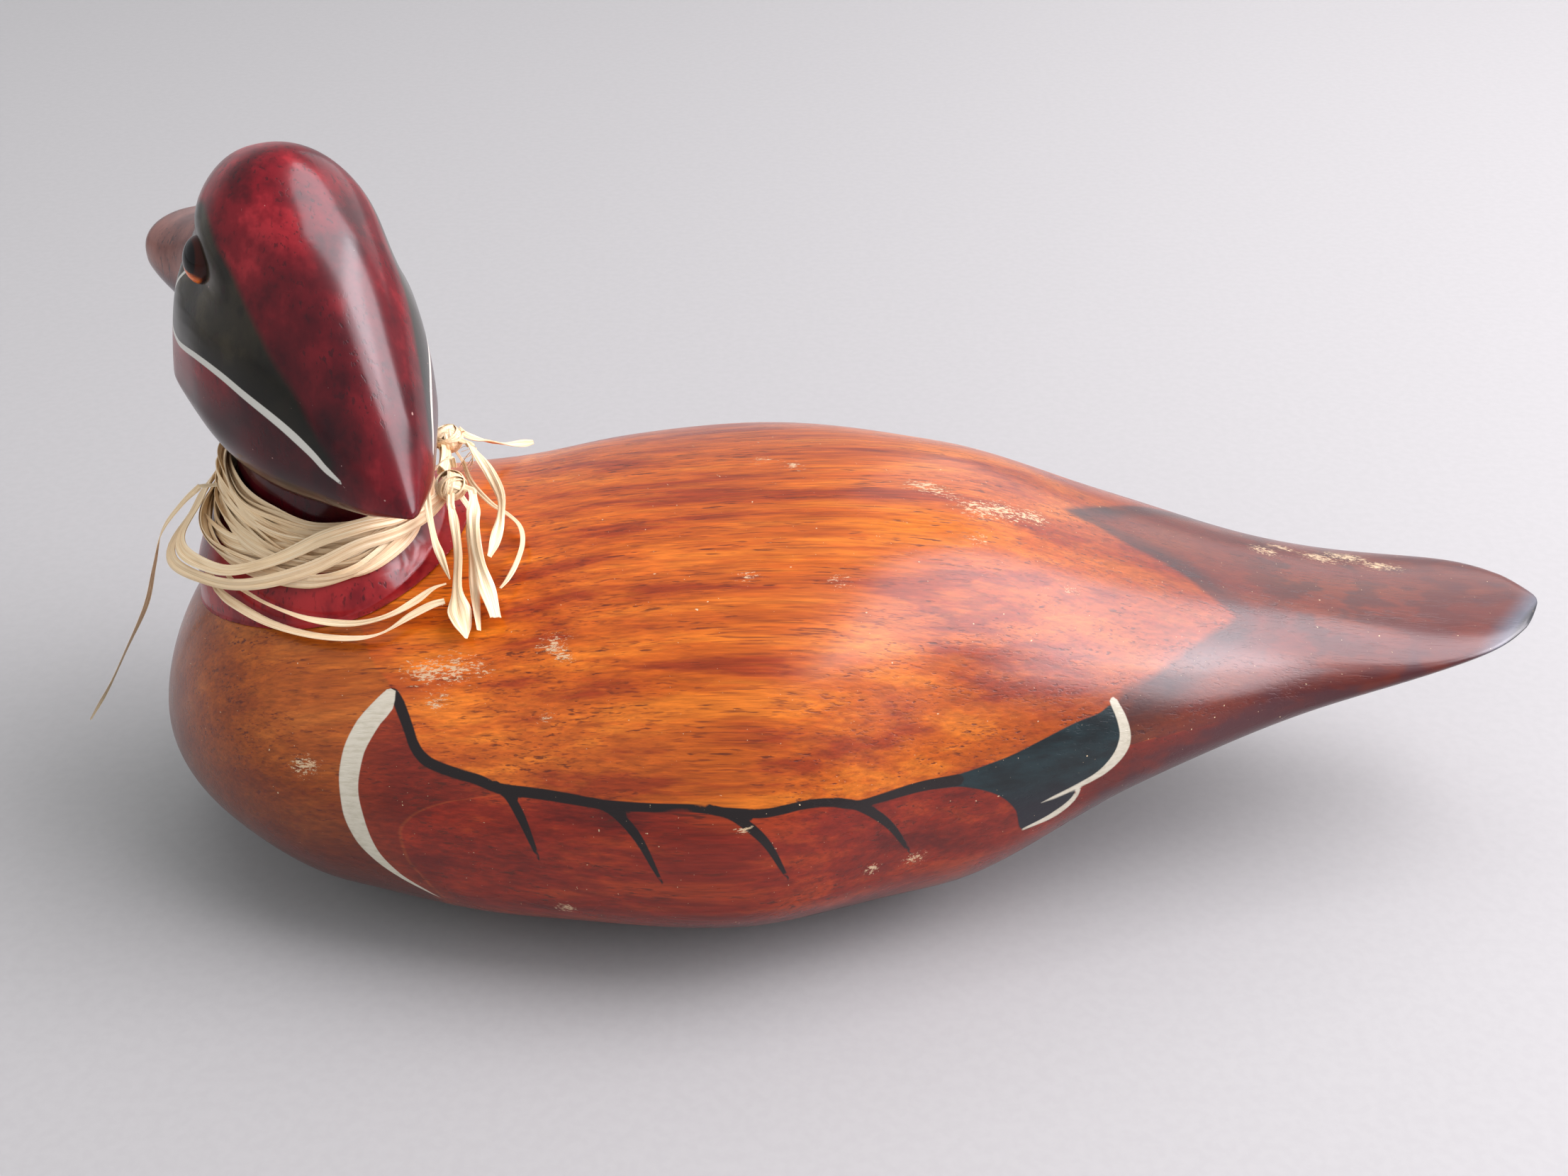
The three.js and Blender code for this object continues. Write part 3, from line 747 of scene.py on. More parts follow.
def add_body():
    points, faces = BODY.loft(BODY_STEPS, BODY_AROUND, even=0.5, flank=0.27)
    points[:, 2] = np.maximum(points[:, 2], 0)
    made = new_object("body_wood", points, faces)
    points = points_of(made)
    x, y, z = points.T
    folded = np.stack([x, np.abs(y), z], axis=1)

    gap, along = line_distance(folded, smooth_line(WING_LINE))
    dark = width_along(WING_LINE_WIDTH, along) - gap
    for scallop in SCALLOPS:
        along_body, height = smooth_line(scallop).T
        line = np.stack([along_body, BODY.side_at(along_body, height), height], axis=1)
        gap, along = line_distance(folded, line)
        dark = np.maximum(dark, width_along(SCALLOP_WIDTH, along) - gap)
    paint(made, "dark_line", dark)

    flank = np.stack([x, z], axis=1)
    outline = smooth_line(SPECULUM + SPECULUM[:1], 5)[:-1]
    near = (x > 5) & (x < 70) & (z < 60)
    speculum = np.full(len(x), FAR_OUTSIDE)
    speculum[near] = area_distance(flank[near], outline)
    paint(made, "speculum", speculum)

    cream = np.full(len(x), FAR_OUTSIDE)
    for mark in CREAM_LINES:
        gap, along = line_distance(folded, smooth_line(mark["line"]))
        cream = np.maximum(cream, width_along(mark["width"], along) - gap)
    front, back = track(CRESCENT_FRONT)(z), track(CRESCENT_BACK)(z)
    crescent = np.minimum(x - front, back - x)
    crescent = np.where((z < CRESCENT_LOW) | (z > CRESCENT_HIGH), PAST_ITS_END, crescent)
    paint(made, "cream", np.maximum(cream, crescent))
    paint(made, "breast", track(BREAST_EDGE)(z) - x)
    paint(made, "flank_arc", x - track(FLANK_ARC)(z))
    line = np.array(WING_LINE)
    paint(made, "below_wing", np.interp(x, line[:, 0], line[:, 2]) - z)
    # Painted shade on the underside, below that edge
    paint(made, "underside_shade", track(SHADED_UNDERSIDE_EDGE, blur=2.0)(x) - z)

    far_off = [[54, 300], [-300, 300], [-300, -0.5]]
    outlines = [np.vstack([smooth_line(edge, 5), far_off]) for edge in (WING_LEFT, WING_RIGHT)]
    wing = np.where(y < 0, *(area_distance(folded[:, :2], outline) for outline in outlines))
    wing = np.where((z < 44) | (x < 0), 40, wing)
    paint(made, "wing", wing)
    # The dark paint of the tail's end, with its painted bluish sheen, runs further in on the left than on the
    # right
    paint(made, "tail_end", x + np.where(y < 0, 0.75, -0.45) * np.abs(y))

    worn = np.zeros(len(x))
    for sx, sy, sz, reach in SCUFFS:
        if sz > 66:
            sz = BODY.top_at(sx, sy)
        oval = (reach * 1.5, reach * 0.8, reach * 0.8)
        gap = np.linalg.norm((points - (sx, sy, sz)) / oval, axis=1)
        worn = np.maximum(worn, np.exp(-(gap**2)))
    paint(made, "worn", worn)
    return made


def body_material():
    g = Graph("varnished_wood")
    x, _, z = g.node("SeparateXYZ", g.position).outputs

    # Grain: bands, fine streaks, thin dark lines and soft dark dashes, all along the body
    bands = g.noise((70, 8, 8), detail=5, roughness=0.62, shift=5.0)
    streaks = g.noise((16, 0.8, 0.8), detail=4, roughness=0.65, shift=2.0)
    lines = g.noise((13, 0.42, 0.42), detail=2, shift=3.0)
    line_crowd = g.noise((45, 4, 4), detail=3, shift=15.0)
    thin = g.times(g.ease(lines, 0.54, 0.68), g.ease(line_crowd, 0.40, 0.62, 0.15, 1.0))
    pores = g.noise((6.5, 0.62, 0.62), detail=2, roughness=0.6, shift=7.0)
    crowd = g.noise((36, 3.4, 3.4), detail=2, shift=11.0)
    # They crowd at the breast and on the tail, and are fewer on the back
    fewer = g.minus(g.ease(x, -70, 30, 0.0, 0.018), g.ease(x, 40, 90, 0.0, 0.03))
    pore = g.times(g.ease(g.minus(pores, fewer), 0.56, 0.66), g.ease(crowd, 0.45, 0.62))

    # Stain of the flank, with a paler arc at its front, and of the breast, darker in front; low down the
    # breast darkens with airbrushed stain and painted shade
    flank = g.ramp(bands,
        (0.36, (0.10, 0.005, 0.002)), (0.5, (0.185, 0.012, 0.003)), (0.64, (0.29, 0.030, 0.004))
    )
    below = g.remap(g.painted("below_wing"), -0.2, 0.2)
    inside_arc = g.painted("flank_arc")
    redder = g.mix(0.5, flank, (0.10, 0.009, 0.003))
    flank = g.mix(g.remap(inside_arc, -0.25, 0.25), redder, flank)
    arc_line = g.times(g.remap(g.math("ABSOLUTE", inside_arc), 0.1, 0.6, 0.3, 0.0), below)
    edge = g.painted("breast")
    breast = g.ramp(bands,
        (0.36, (0.20, 0.038, 0.003)), (0.5, (0.27, 0.058, 0.004)), (0.64, (0.34, 0.086, 0.008))
    )
    breast = g.mix(g.ease(z, 62, 16, 0, 0.97), breast, (0.055, 0.0045, 0.002))
    breast = g.mix(g.ease(edge, 30, 54, 0, 0.5), breast, (0.10, 0.012, 0.003))

    back = g.ramp(bands,
        (0.36, (0.25, 0.030, 0.003)), (0.5, (0.42, 0.080, 0.004)), (0.63, (0.56, 0.138, 0.008))
    )
    g.colour = g.mix(below, back, flank)
    # Darker towards the floor all round: airbrushed stain and painted shade
    g.over(g.ease(z, 32, 4, 0, 0.6), (0.085, 0.005, 0.003))
    # The stain of the back is darker and redder towards the tail, and where it meets the breast
    g.over(g.ease(x, 10, 85, 0, 0.75), (0.15, 0.013, 0.006))
    g.over(g.ease(edge, -12, 0, 0, 0.45), (0.20, 0.026, 0.004))
    g.over(g.remap(edge, -0.35, 0.35), breast)
    g.over(arc_line, (0.30, 0.065, 0.012))
    g.over(0.85, g.grey(g.remap(streaks, 0.32, 0.68, 0.6, 1.25)), "MULTIPLY")
    g.over(g.times(thin, 0.6), (0.085, 0.009, 0.003))
    g.over(g.times(pore, 0.8), (0.060, 0.008, 0.003))

    # Dark rump, soft dark edges of the folded wings, dark blots on the tail, and painted shade on the
    # underside
    wing = g.painted("wing")
    g.over(g.times(g.ease(wing, 0, -5), 0.62), (0.060, 0.006, 0.004))
    blot = g.noise((9, 5, 5), detail=2, shift=4.0)
    outside = g.times(g.ease(wing, -7, -2), g.remap(wing, 0.9, -0.5))
    outside = g.times(outside, g.remap(blot, 0.3, 0.7, 0.7, 1.0))
    g.over(g.times(outside, 0.9), (0.018, 0.009, 0.012))
    g.over(g.times(g.ease(blot, 0.46, 0.6, 0, 0.6), g.ease(x, 78, 100)), (0.030, 0.007, 0.007))
    # Painted shade: darker towards the underside, then below its ragged edge painted shade with a purple
    # painted reflection
    ragged = g.plus(g.painted("underside_shade"), g.remap(blot, 0.3, 0.7, -3.5, 3.5))
    g.over(g.ease(ragged, -9, 0, 0, 0.75), (0.085, 0.007, 0.004))
    g.over(g.times(g.ease(ragged, -2.4, 2.0), 0.88), (0.050, 0.008, 0.012))

    # Painted marks: the tail's end, the speculum, the wing lines and the cream lines
    tail = g.painted("tail_end")
    # The tail's end: dark paint under a bluish grey painted sheen, then black at the very edge
    g.over(g.ease(tail, 149.5, 156, 0, 0.8), (0.075, 0.095, 0.125))
    g.over(g.remap(tail, 155.4, 156.6, 0, 0.95), (0.010, 0.012, 0.015))
    speculum = g.remap(g.painted("speculum"), -0.15, 0.15)
    streaked = g.noise((18, 2.2, 2.2), detail=3, shift=9.0)
    green = g.ramp(streaked, (0.3, (0.004, 0.008, 0.010)), (0.7, (0.008, 0.021, 0.025)))
    g.over(speculum, g.mix(g.ease(z, 42, 33, 0, 0.85), green, (0.010, 0.008, 0.014)))
    line = g.remap(g.painted("dark_line"), -0.12, 0.12)
    g.over(line, (0.009, 0.005, 0.005))
    cream = g.remap(g.painted("cream"), -0.12, 0.12)
    g.over(cream, g.ramp(streaks, (0.3, (0.46, 0.42, 0.32)), (0.6, (0.56, 0.52, 0.42))))
    marks = g.most(g.most(line, speculum), cream)

    # Paler towards the shoulders, away from the painted marks
    g.over(g.minus(1.0, marks), g.grey(g.ease(x, -95, -20, 1.3, 1.0)), "MULTIPLY")

    # Scuffs through the varnish, and small pale scratches here and there
    rough_spot = g.noise((1.5, 0.5, 0.5), detail=5, roughness=0.75, shift=6.0)
    worn = g.remap(g.plus(g.painted("worn"), g.remap(rough_spot, 0.3, 0.7, -0.75, 0.75)), 0.76, 0.96)
    tilted = g.node("VectorRotate", g.position, rotation_type="EULER_XYZ")
    tilted.inputs["Rotation"].default_value = (0.2, 0.3, 0.9)
    scratch = g.noise((5.5, 0.42, 0.42), detail=1, source=tilted.outputs[0], shift=8.0)
    speck = g.noise((0.8, 0.8, 0.8), detail=0, shift=13.0)
    worn = g.most(worn, g.most(g.remap(scratch, 0.79, 0.815), g.remap(speck, 0.885, 0.90)))
    g.over(g.times(worn, 0.85), (0.62, 0.46, 0.28))

    # Varnish
    uneven = g.noise((26, 9, 9), detail=2, shift=1.5)
    roughness = g.plus(g.remap(uneven, 0.3, 0.7, 0.25, 0.34), g.times(worn, 0.3))
    relief = g.minus(g.times(streaks, 0.6), g.times(pore, 0.5))
    relief = g.minus(relief, g.times(thin, 0.3))
    relief = g.plus(relief, g.times(marks, 0.35))
    relief = g.minus(relief, g.times(worn, 0.6))
    g.bump(relief, 0.35, 0.00018)
    return g.finish(g.colour, roughness, Specular_IOR_Level=0.28, Coat_Weight=0.38, Coat_Roughness=0.19)


body = add_body()
body.data.materials.append(body_material())
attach(body, "root")
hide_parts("body")

# Head: crown, bill and neck in the head's own frame of forward, left and up
# The crown leans in towards its top in front, under a brow with a hollow on each side for the eye
CROWN_LEAN = track([(-NAPE_REACH, 0), (-10, 0), (5, 0.02), (14, 0.16), (24, 0.36), (35, 0.36)], blur=1.5)
EYE_HOLLOW = {
    "forward": 5, "height": 136.5, "slope": 0.25,
    "half_length": 13, "half_height": 6, "depth": 3.6, "edge": 8,
}


def carve_crown(place, across, height, rise):
    leaned = across * (1 - CROWN_LEAN(place) * np.maximum(rise, 0))
    ahead = place - EYE_HOLLOW["forward"]
    above = height - EYE_HOLLOW["height"] - EYE_HOLLOW["slope"] * ahead
    along, upward = ahead / EYE_HOLLOW["half_length"], above / EYE_HOLLOW["half_height"]
    fade = np.exp(-(along**2) - upward**2)
    cut = EYE_HOLLOW["depth"] * fade * np.minimum(np.abs(leaned) / EYE_HOLLOW["edge"], 1)
    return np.sign(leaned) * np.maximum(np.abs(leaned) - cut, 0)


CROWN_WIDTH = [(-46, 0.14), (-40, 0.31), (-30, 0.57), (-15, 0.88), (0, 1), (12, 0.98), (24, 0.81), (35, 0.62)]
CROWN = Form(
    start=-NAPE_REACH,
    end=35,
    start_round=9,
    end_round=12,
    half_width=track([(place, share * HEAD_HALF_WIDTH) for place, share in CROWN_WIDTH], blur=1.5),
    top=track(
        [(-46, 98), (-40, 110), (-30, 127), (-15, 148), (0, HEAD_HEIGHT), (12, 155), (24, 146), (35, 131)],
        blur=1.5,
    ),
    bottom=track(
        [(-46, 94), (-40, 93), (-30, 91), (-15, 88.5), (0, 88), (12, 90), (24, 94), (35, 99)], blur=1.5
    ),
    widest=lambda place: 0.3 + 0 * place,
    upper_power=track([(-46, 2.1), (-15, 2.1), (0, 2.15), (24, 2.1), (35, 1.9)], blur=1.5),
    lower_power=track([(-46, 2.1), (-12, 2.1), (8, 1.6), (24, 1.3), (35, 1.3)], blur=1.5),
    carve=carve_crown,
)
BILL = Form(
    start=14,
    end=BILL_REACH,
    start_round=3,
    end_round=8,
    half_width=track([(14, 14), (27, 11.5), (41, 10.5), (56, 11.5), (BILL_REACH, 11)]),
    top=track([(14, 142), (27, 136), (41, 132), (56, 127.5), (BILL_REACH, 125)], blur=1.0),
    bottom=track([(14, 104), (27, 105), (41, 107), (56, 110.5), (BILL_REACH, 114)], blur=1.0),
    widest=lambda place: 0.45 + 0 * place,
    upper_power=lambda place: 2.2 + 0 * place,
    lower_power=lambda place: 2.8 + 0 * place,
)
NECK_FOOT = 56
NECK_TOP = 104
NECK_LENGTH = track(
    [(55, 33), (60, 32.5), (66, 32), (70, 31), (74, 29), (78, 25.5), (84, 21.5), (91, 21), (NECK_TOP, 24)]
)
NECK_WIDTH = track(
    [(55, 30), (60, 29.5), (66, 29), (70, 27.5), (74, 25.5), (78, 22), (84, 17.5), (91, 17), (NECK_TOP, 18)]
)
EYE_PLACE = (3.3, 17.0, 137.6)
EYE_DEPTH = 3.6
EYE_TILT = math.radians(14)
EYE_TURN = math.radians(6)

HEAD_FORWARD = np.array([-math.cos(HEAD_TURN), math.sin(HEAD_TURN), 0.0])
HEAD_LEFT = np.array([-math.sin(HEAD_TURN), -math.cos(HEAD_TURN), 0.0])


def head_to_world(points):
    points = np.asarray(points, float)
    ahead = NECK_AXIS + points[..., :1] * HEAD_FORWARD
    return ahead + points[..., 1:2] * HEAD_LEFT + points[..., 2:] * (0, 0, 1)


def neck_rings(step, around):
    heights = np.arange(NECK_FOOT, NECK_TOP + 0.01, step)[:, None]
    angle = (2 * np.pi * np.arange(around) / around)[None, :]
    ahead, left = NECK_LENGTH(heights) * np.cos(angle), NECK_WIDTH(heights) * np.sin(angle)
    return np.stack([ahead, left, heights + 0 * angle], axis=-1)


def eye_points(side, radius, depth, rings, around):
    """A dome in the head's frame, its pole pointing out of the head."""
    polar = np.pi * np.arange(1, rings) / rings
    angle = 2 * np.pi * np.arange(around) / around
    out = depth * np.cos(polar)[:, None] + 0 * angle[None, :]
    ahead = radius * np.sin(polar)[:, None] * np.cos(angle)[None, :]
    up = radius * np.sin(polar)[:, None] * np.sin(angle)[None, :]
    tips = [(0, depth, 0), (0, -depth, 0)]
    points, faces = skin(np.stack([ahead, out, up], axis=-1), *tips)
    cos, sin = math.cos(EYE_TILT), math.sin(EYE_TILT)
    ahead, out, up = points.T
    out, up = out * cos - up * sin, out * sin + up * cos
    cos, sin = math.cos(EYE_TURN), math.sin(EYE_TURN)
    ahead, out = ahead * cos + out * sin, out * cos - ahead * sin
    turned = np.stack([ahead + EYE_PLACE[0], side * (out + EYE_PLACE[1]), up + EYE_PLACE[2]], axis=1)
    return turned, [f[::-1] for f in faces] if side > 0 else faces


# Grid of the head's mesh, reach of the search for its true surface, and what stays as cut round an eye
HEAD_GRID = 0.62
FAR_FROM_FORM = 9.0
EYE_RIM = 6.6


def add_head():
    crown_points, crown_faces = CROWN.loft(110, 120)
    bill_points, bill_faces = BILL.loft(70, 90)
    neck_points, neck_faces = skin(neck_rings(1.5, 120), (0, 0, NECK_FOOT), (0, 0, NECK_TOP))

    skull = new_object("head_wood", crown_points, crown_faces)
    for side in (1, -1):
        points, faces = eye_points(side, EYE_RADIUS + GAP, EYE_DEPTH + GAP, 24, 48)
        cutter = new_object("cutter", points, faces)
        applied(skull, "BOOLEAN", operation="DIFFERENCE", solver="EXACT", object=cutter)
        bpy.data.objects.remove(cutter)
    parts = [points_of(skull)]
    polygons = [tuple(p.vertices) for p in skull.data.polygons]
    for points, faces in ((bill_points, bill_faces), (neck_points, neck_faces)):
        start = sum(len(p) for p in parts)
        parts.append(points)
        polygons += [tuple(start + i for i in f) for f in faces]
    bpy.data.objects.remove(skull)
    made = new_object("head_wood", np.vstack(parts), polygons)
    applied(made, "REMESH", mode="VOXEL", voxel_size=HEAD_GRID * MM, adaptivity=0.0)
    applied(made, "SMOOTH", factor=0.5, iterations=4)

    # Away from the joins, each vertex goes back onto the true surface of its form
    points = points_of(made)
    forms = ((crown_points, crown_faces), (bill_points, bill_faces), (neck_points, neck_faces))
    trees = [BVHTree.FromPolygons([Vector(p) for p in some], faces) for some, faces in forms]
    eyes = np.array([(EYE_PLACE[0], s * EYE_PLACE[1], EYE_PLACE[2]) for s in (1, -1)])
    for i, point in enumerate(points):
        found = [tree.find_nearest(point, FAR_FROM_FORM) for tree in trees]
        found.sort(key=lambda hit: 2 * FAR_FROM_FORM if hit[3] is None else hit[3])
        nearest = found[0]
        if nearest[3] is None or np.linalg.norm(eyes - point, axis=1).min() < EYE_RIM:
            continue
        second = FAR_FROM_FORM if found[1][3] is None else found[1][3]
        share = np.clip((second - nearest[3] - 0.8) / 2.0, 0, 1)
        points[i] += (np.array(nearest[0]) - point) * share
    head_frame = points.copy()
    points = head_to_world(points)
    foot = BODY.top_at(points[:, 0], points[:, 1]) + GAP
    low = points[:, 2] < foot
    points[low, 2] = foot[low]
    set_points(made, points)
    made.data.polygons.foreach_set("use_smooth", [True] * len(made.data.polygons))
    made.data.update()
    return made, head_frame


# Painted marks on the head, the same on both sides: forward and up
CHEEK_LINE = [
    (6.6, 136.4), (10.5, 132.6), (14.5, 128.1), (17, 124.6), (15, 121.6), (7.6, 119.9), (-2.9, 120.6),
    (-11, 119.1), (-18.9, 115.9), (-25.2, 112), (-30.5, 107.6), (-33.3, 104.6), (-36, 102.2),
]
CHEEK_LINE_WIDTH = [(0, 0.35), (0.1, 0.45), (0.35, 0.6), (0.6, 0.8), (0.85, 0.95), (0.96, 0.7), (1, 0.35)]
FACE_PATCH = [
    (-35.2, 104), (-33.3, 104.6), (-30.5, 107.6), (-25.2, 112), (-18.9, 115.9), (-11, 119.1),
    (-2.9, 120.6), (7.6, 119.9), (15, 121.6), (22, 124), (25, 130), (20, 139), (12, 145.5), (4, 148.6),
    (-2, 147.1), (-7.1, 142.7), (-12.5, 137.4), (-17, 132.4), (-21.1, 127.1), (-25.8, 120.7),
    (-30.8, 112.3), (-34.5, 107.2),
]


def paint_head(made, head_frame):
    forward, left, up = head_frame.T
    folded = np.stack([forward, np.abs(left), up], axis=1)
    line = np.array(CHEEK_LINE)
    side = CROWN.side_at(line[:, 0], line[:, 1])
    gap, along = line_distance(folded, smooth_line(np.stack([line[:, 0], side, line[:, 1]], axis=1)))
    paint(made, "cheek_line", width_along(CHEEK_LINE_WIDTH, along) - gap)
    outline = smooth_line(FACE_PATCH + FACE_PATCH[:1], 4)[:-1]
    paint(made, "face_patch", area_distance(np.stack([forward, up], axis=1), outline))
    paint(made, "forward", forward)
    paint(made, "upward", up)


def head_material():
    g = Graph("painted_wood")
    forward, up = g.painted("forward"), g.painted("upward")
    mottle = g.noise((9, 9, 12), detail=4, roughness=0.6, shift=2.0)
    cloud = g.noise((22, 22, 26), detail=2, shift=6.0)
    red = g.ramp(mottle,
        (0.32, (0.075, 0.0015, 0.005)), (0.5, (0.18, 0.004, 0.010)), (0.68, (0.36, 0.016, 0.024))
    )
    dark_red = g.ramp(mottle, (0.3, (0.018, 0.001, 0.003)), (0.7, (0.060, 0.002, 0.005)))
    # Bright forehead, darker tip of the crest, darker clouds, and painted shade below the cheek line and
    # under the head
    g.colour = g.mix(g.ease(forward, 4, 24, 0, 0.7), red, (0.46, 0.050, 0.036))
    g.over(g.ease(forward, 6, -34, 0, 0.72), dark_red)
    g.over(g.ease(cloud, 0.4, 0.62, 0, 0.75), dark_red)
    # Painted shade on the lower cheek and the head's underside
    below = g.ease(g.plus(up, g.times(forward, 0.12)), 118, 108)
    g.over(below, g.mix(g.remap(forward, -34, -46, 0, 0.8), dark_red, red))
    # Red foot of the neck
    foot_red = g.ramp(mottle, (0.3, (0.15, 0.005, 0.009)), (0.6, (0.33, 0.018, 0.020)))
    g.over(g.ease(up, 80, 73), foot_red)
    # Brown bill, darker below
    bill_tone = g.ramp(mottle, (0.3, (0.11, 0.030, 0.024)), (0.7, (0.25, 0.085, 0.062)))
    lower_bill = g.ease(g.plus(up, g.times(forward, 0.1)), 124, 118)
    g.over(g.ease(forward, 22, 29), g.mix(lower_bill, bill_tone, (0.040, 0.010, 0.022)))

    # Green face patch, nearly black in its lower part
    ragged = g.plus(g.painted("face_patch"), g.remap(mottle, 0.3, 0.7, -0.5, 0.5))
    uneven = g.noise((7, 7, 9), detail=3, shift=9.0)
    green = g.ramp(uneven,
        (0.3, (0.012, 0.009, 0.005)), (0.5, (0.026, 0.020, 0.011)), (0.72, (0.055, 0.042, 0.022))
    )
    green = g.mix(g.ease(up, 134, 116, 0, 0.85), green, (0.003, 0.0035, 0.002))
    g.over(g.ease(ragged, -0.9, 0.9), green)

    # Short dark grain marks show through the paint, and tiny chips
    pores = g.noise((0.9, 0.9, 3.2), detail=2, shift=4.0)
    crowd = g.noise((14, 14, 18), detail=2, shift=12.0)
    pore = g.times(g.ease(pores, 0.58, 0.68), g.ease(crowd, 0.42, 0.6, 0.15, 0.85))
    g.over(g.times(pore, 0.75), (0.020, 0.003, 0.005))
    white = g.remap(g.painted("cheek_line"), -0.1, 0.1)
    g.over(white, (0.62, 0.61, 0.55))
    chip = g.remap(g.noise((1.1, 1.1, 1.1), detail=1, shift=21.0), 0.795, 0.81)
    g.over(g.times(chip, 0.6), (0.55, 0.34, 0.30))

    roughness = g.remap(g.noise((16, 16, 16), detail=2, shift=3.0), 0.3, 0.7, 0.21, 0.29)
    relief = g.plus(g.times(mottle, 0.25), g.times(white, 0.5))
    g.bump(g.minus(relief, g.times(pore, 0.35)), 0.3, 0.00016)
    return g.finish(g.colour, roughness, Specular_IOR_Level=0.23, Coat_Weight=0.3, Coat_Roughness=0.14)


head, head_points = add_head()
paint_head(head, head_points)
head.data.materials.append(head_material())
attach(head, "root")
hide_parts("head")


# Eyes: glass domes with an orange ring and a large dark pupil
def eye_material():
    g = Graph("eye_glass")
    spread = g.painted("from_pole")
    fleck = g.noise((0.5, 0.5, 0.5), detail=2)
    iris = g.ramp(fleck, (0.3, (0.85, 0.10, 0.006)), (0.7, (1.0, 0.24, 0.02)))
    # Light through the glass gathers on the lower side of the iris
    lit = g.ease(g.painted("low_side"), -0.1, 0.35)
    iris = g.mix(lit, (0.035, 0.006, 0.003), iris)
    pupil = g.remap(g.plus(spread, g.times(lit, 0.5)), 0.72, 0.80, 1, 0)
    colour = g.mix(pupil, iris, (0.004, 0.003, 0.003))
    colour = g.mix(g.remap(spread, 0.95, 0.99), colour, (0.03, 0.006, 0.004))
    return g.finish(colour, 0.05, Specular_IOR_Level=0.25)


EYE_GLASS = eye_material()
for side, node in ((1, "eye_left"), (-1, "eye_right")):
    eye_local, eye_faces = eye_points(side, EYE_RADIUS, EYE_DEPTH, 40, 64)
    eye = new_object(node + "_glass", head_to_world(eye_local), eye_faces)
    centre = np.array([EYE_PLACE[0], side * EYE_PLACE[1], EYE_PLACE[2]])
    flat = math.cos(EYE_TILT)
    pole = np.array([flat * math.sin(EYE_TURN), side * flat * math.cos(EYE_TURN), math.sin(EYE_TILT)])
    away = eye_local - centre
    radial = np.linalg.norm(away - (away @ pole)[:, None] * pole, axis=1) / EYE_RADIUS
    paint(eye, "from_pole", radial)
    paint(eye, "low_side", (away @ (0.5, 0, -0.85)) / EYE_RADIUS)
    eye.data.materials.append(EYE_GLASS)
    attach(eye, "root")
    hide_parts(node)


# Raffia wound round the neck: angles run round its axis from the tail's side towards the right flank
COLLAR_TOP = track(
    [
        (0, 86.5), (60, 86.5), (120, 88), (180, 90.6), (202, 90), (224, 88.2), (249, 86.8), (280, 84.8),
        (310, 84.8), (360, 86.5),
    ]
)
COLLAR_FOOT = track(
    [
        (0, 81.5), (60, 80), (120, 78), (180, 76.5), (226, 75.5), (272, 75), (291, 76), (310, 78.3),
        (331, 80), (360, 81.5),
    ]
)
WINDINGS = [
    {
        "height": [
            (0, 85.5), (23, 87), (60, 84), (120, 83), (185, 80), (211, 75.2), (230, 75.4), (263, 80.4),
            (289, 85.3), (302, 86), (318, 84.6), (333, 84.5), (342, 87), (360, 85.5),
        ],
        "off_neck": [
            (0, 7.5), (23, 9.5), (45, 5.4), (188, 5.4), (203, 8.5), (216, 7.4), (232, 6), (325, 6),
            (342, 10.5), (360, 7.5),
        ],
    },
    {
        "height": [
            (0, 84), (23, 86), (60, 82), (120, 80.5), (185, 77.5), (208, 72.5), (228, 73.1), (247, 74.8),
            (276, 79), (300, 82.3), (318, 82), (333, 82.5), (342, 86), (360, 84),
        ],
        "off_neck": [
            (0, 7), (23, 9), (45, 5.4), (188, 5.4), (203, 8.8), (216, 7.4), (230, 6), (325, 6),
            (342, 10), (360, 7),
        ],
    },
]
KNOTS = [
    {"at": (-83.2, -11.4, 87), "size": (3.4, 3.8, 3.1)},
    {"at": (-87, 8.9, 87.2), "size": (3.4, 3.9, 2.8)},
]


def neck_reach(degrees, height):
    """Distance from the neck's axis to its surface."""
    turned = np.radians(degrees) - (math.pi - HEAD_TURN)
    return 1 / np.hypot(np.cos(turned) / NECK_LENGTH(height), np.sin(turned) / NECK_WIDTH(height))


def round_neck(degrees, reach, height):
    angle = np.radians(degrees)
    x, y = NECK_AXIS[0] + reach * np.cos(angle), NECK_AXIS[1] + reach * np.sin(angle)
    return np.stack([x, y, height + 0 * angle], axis=-1)


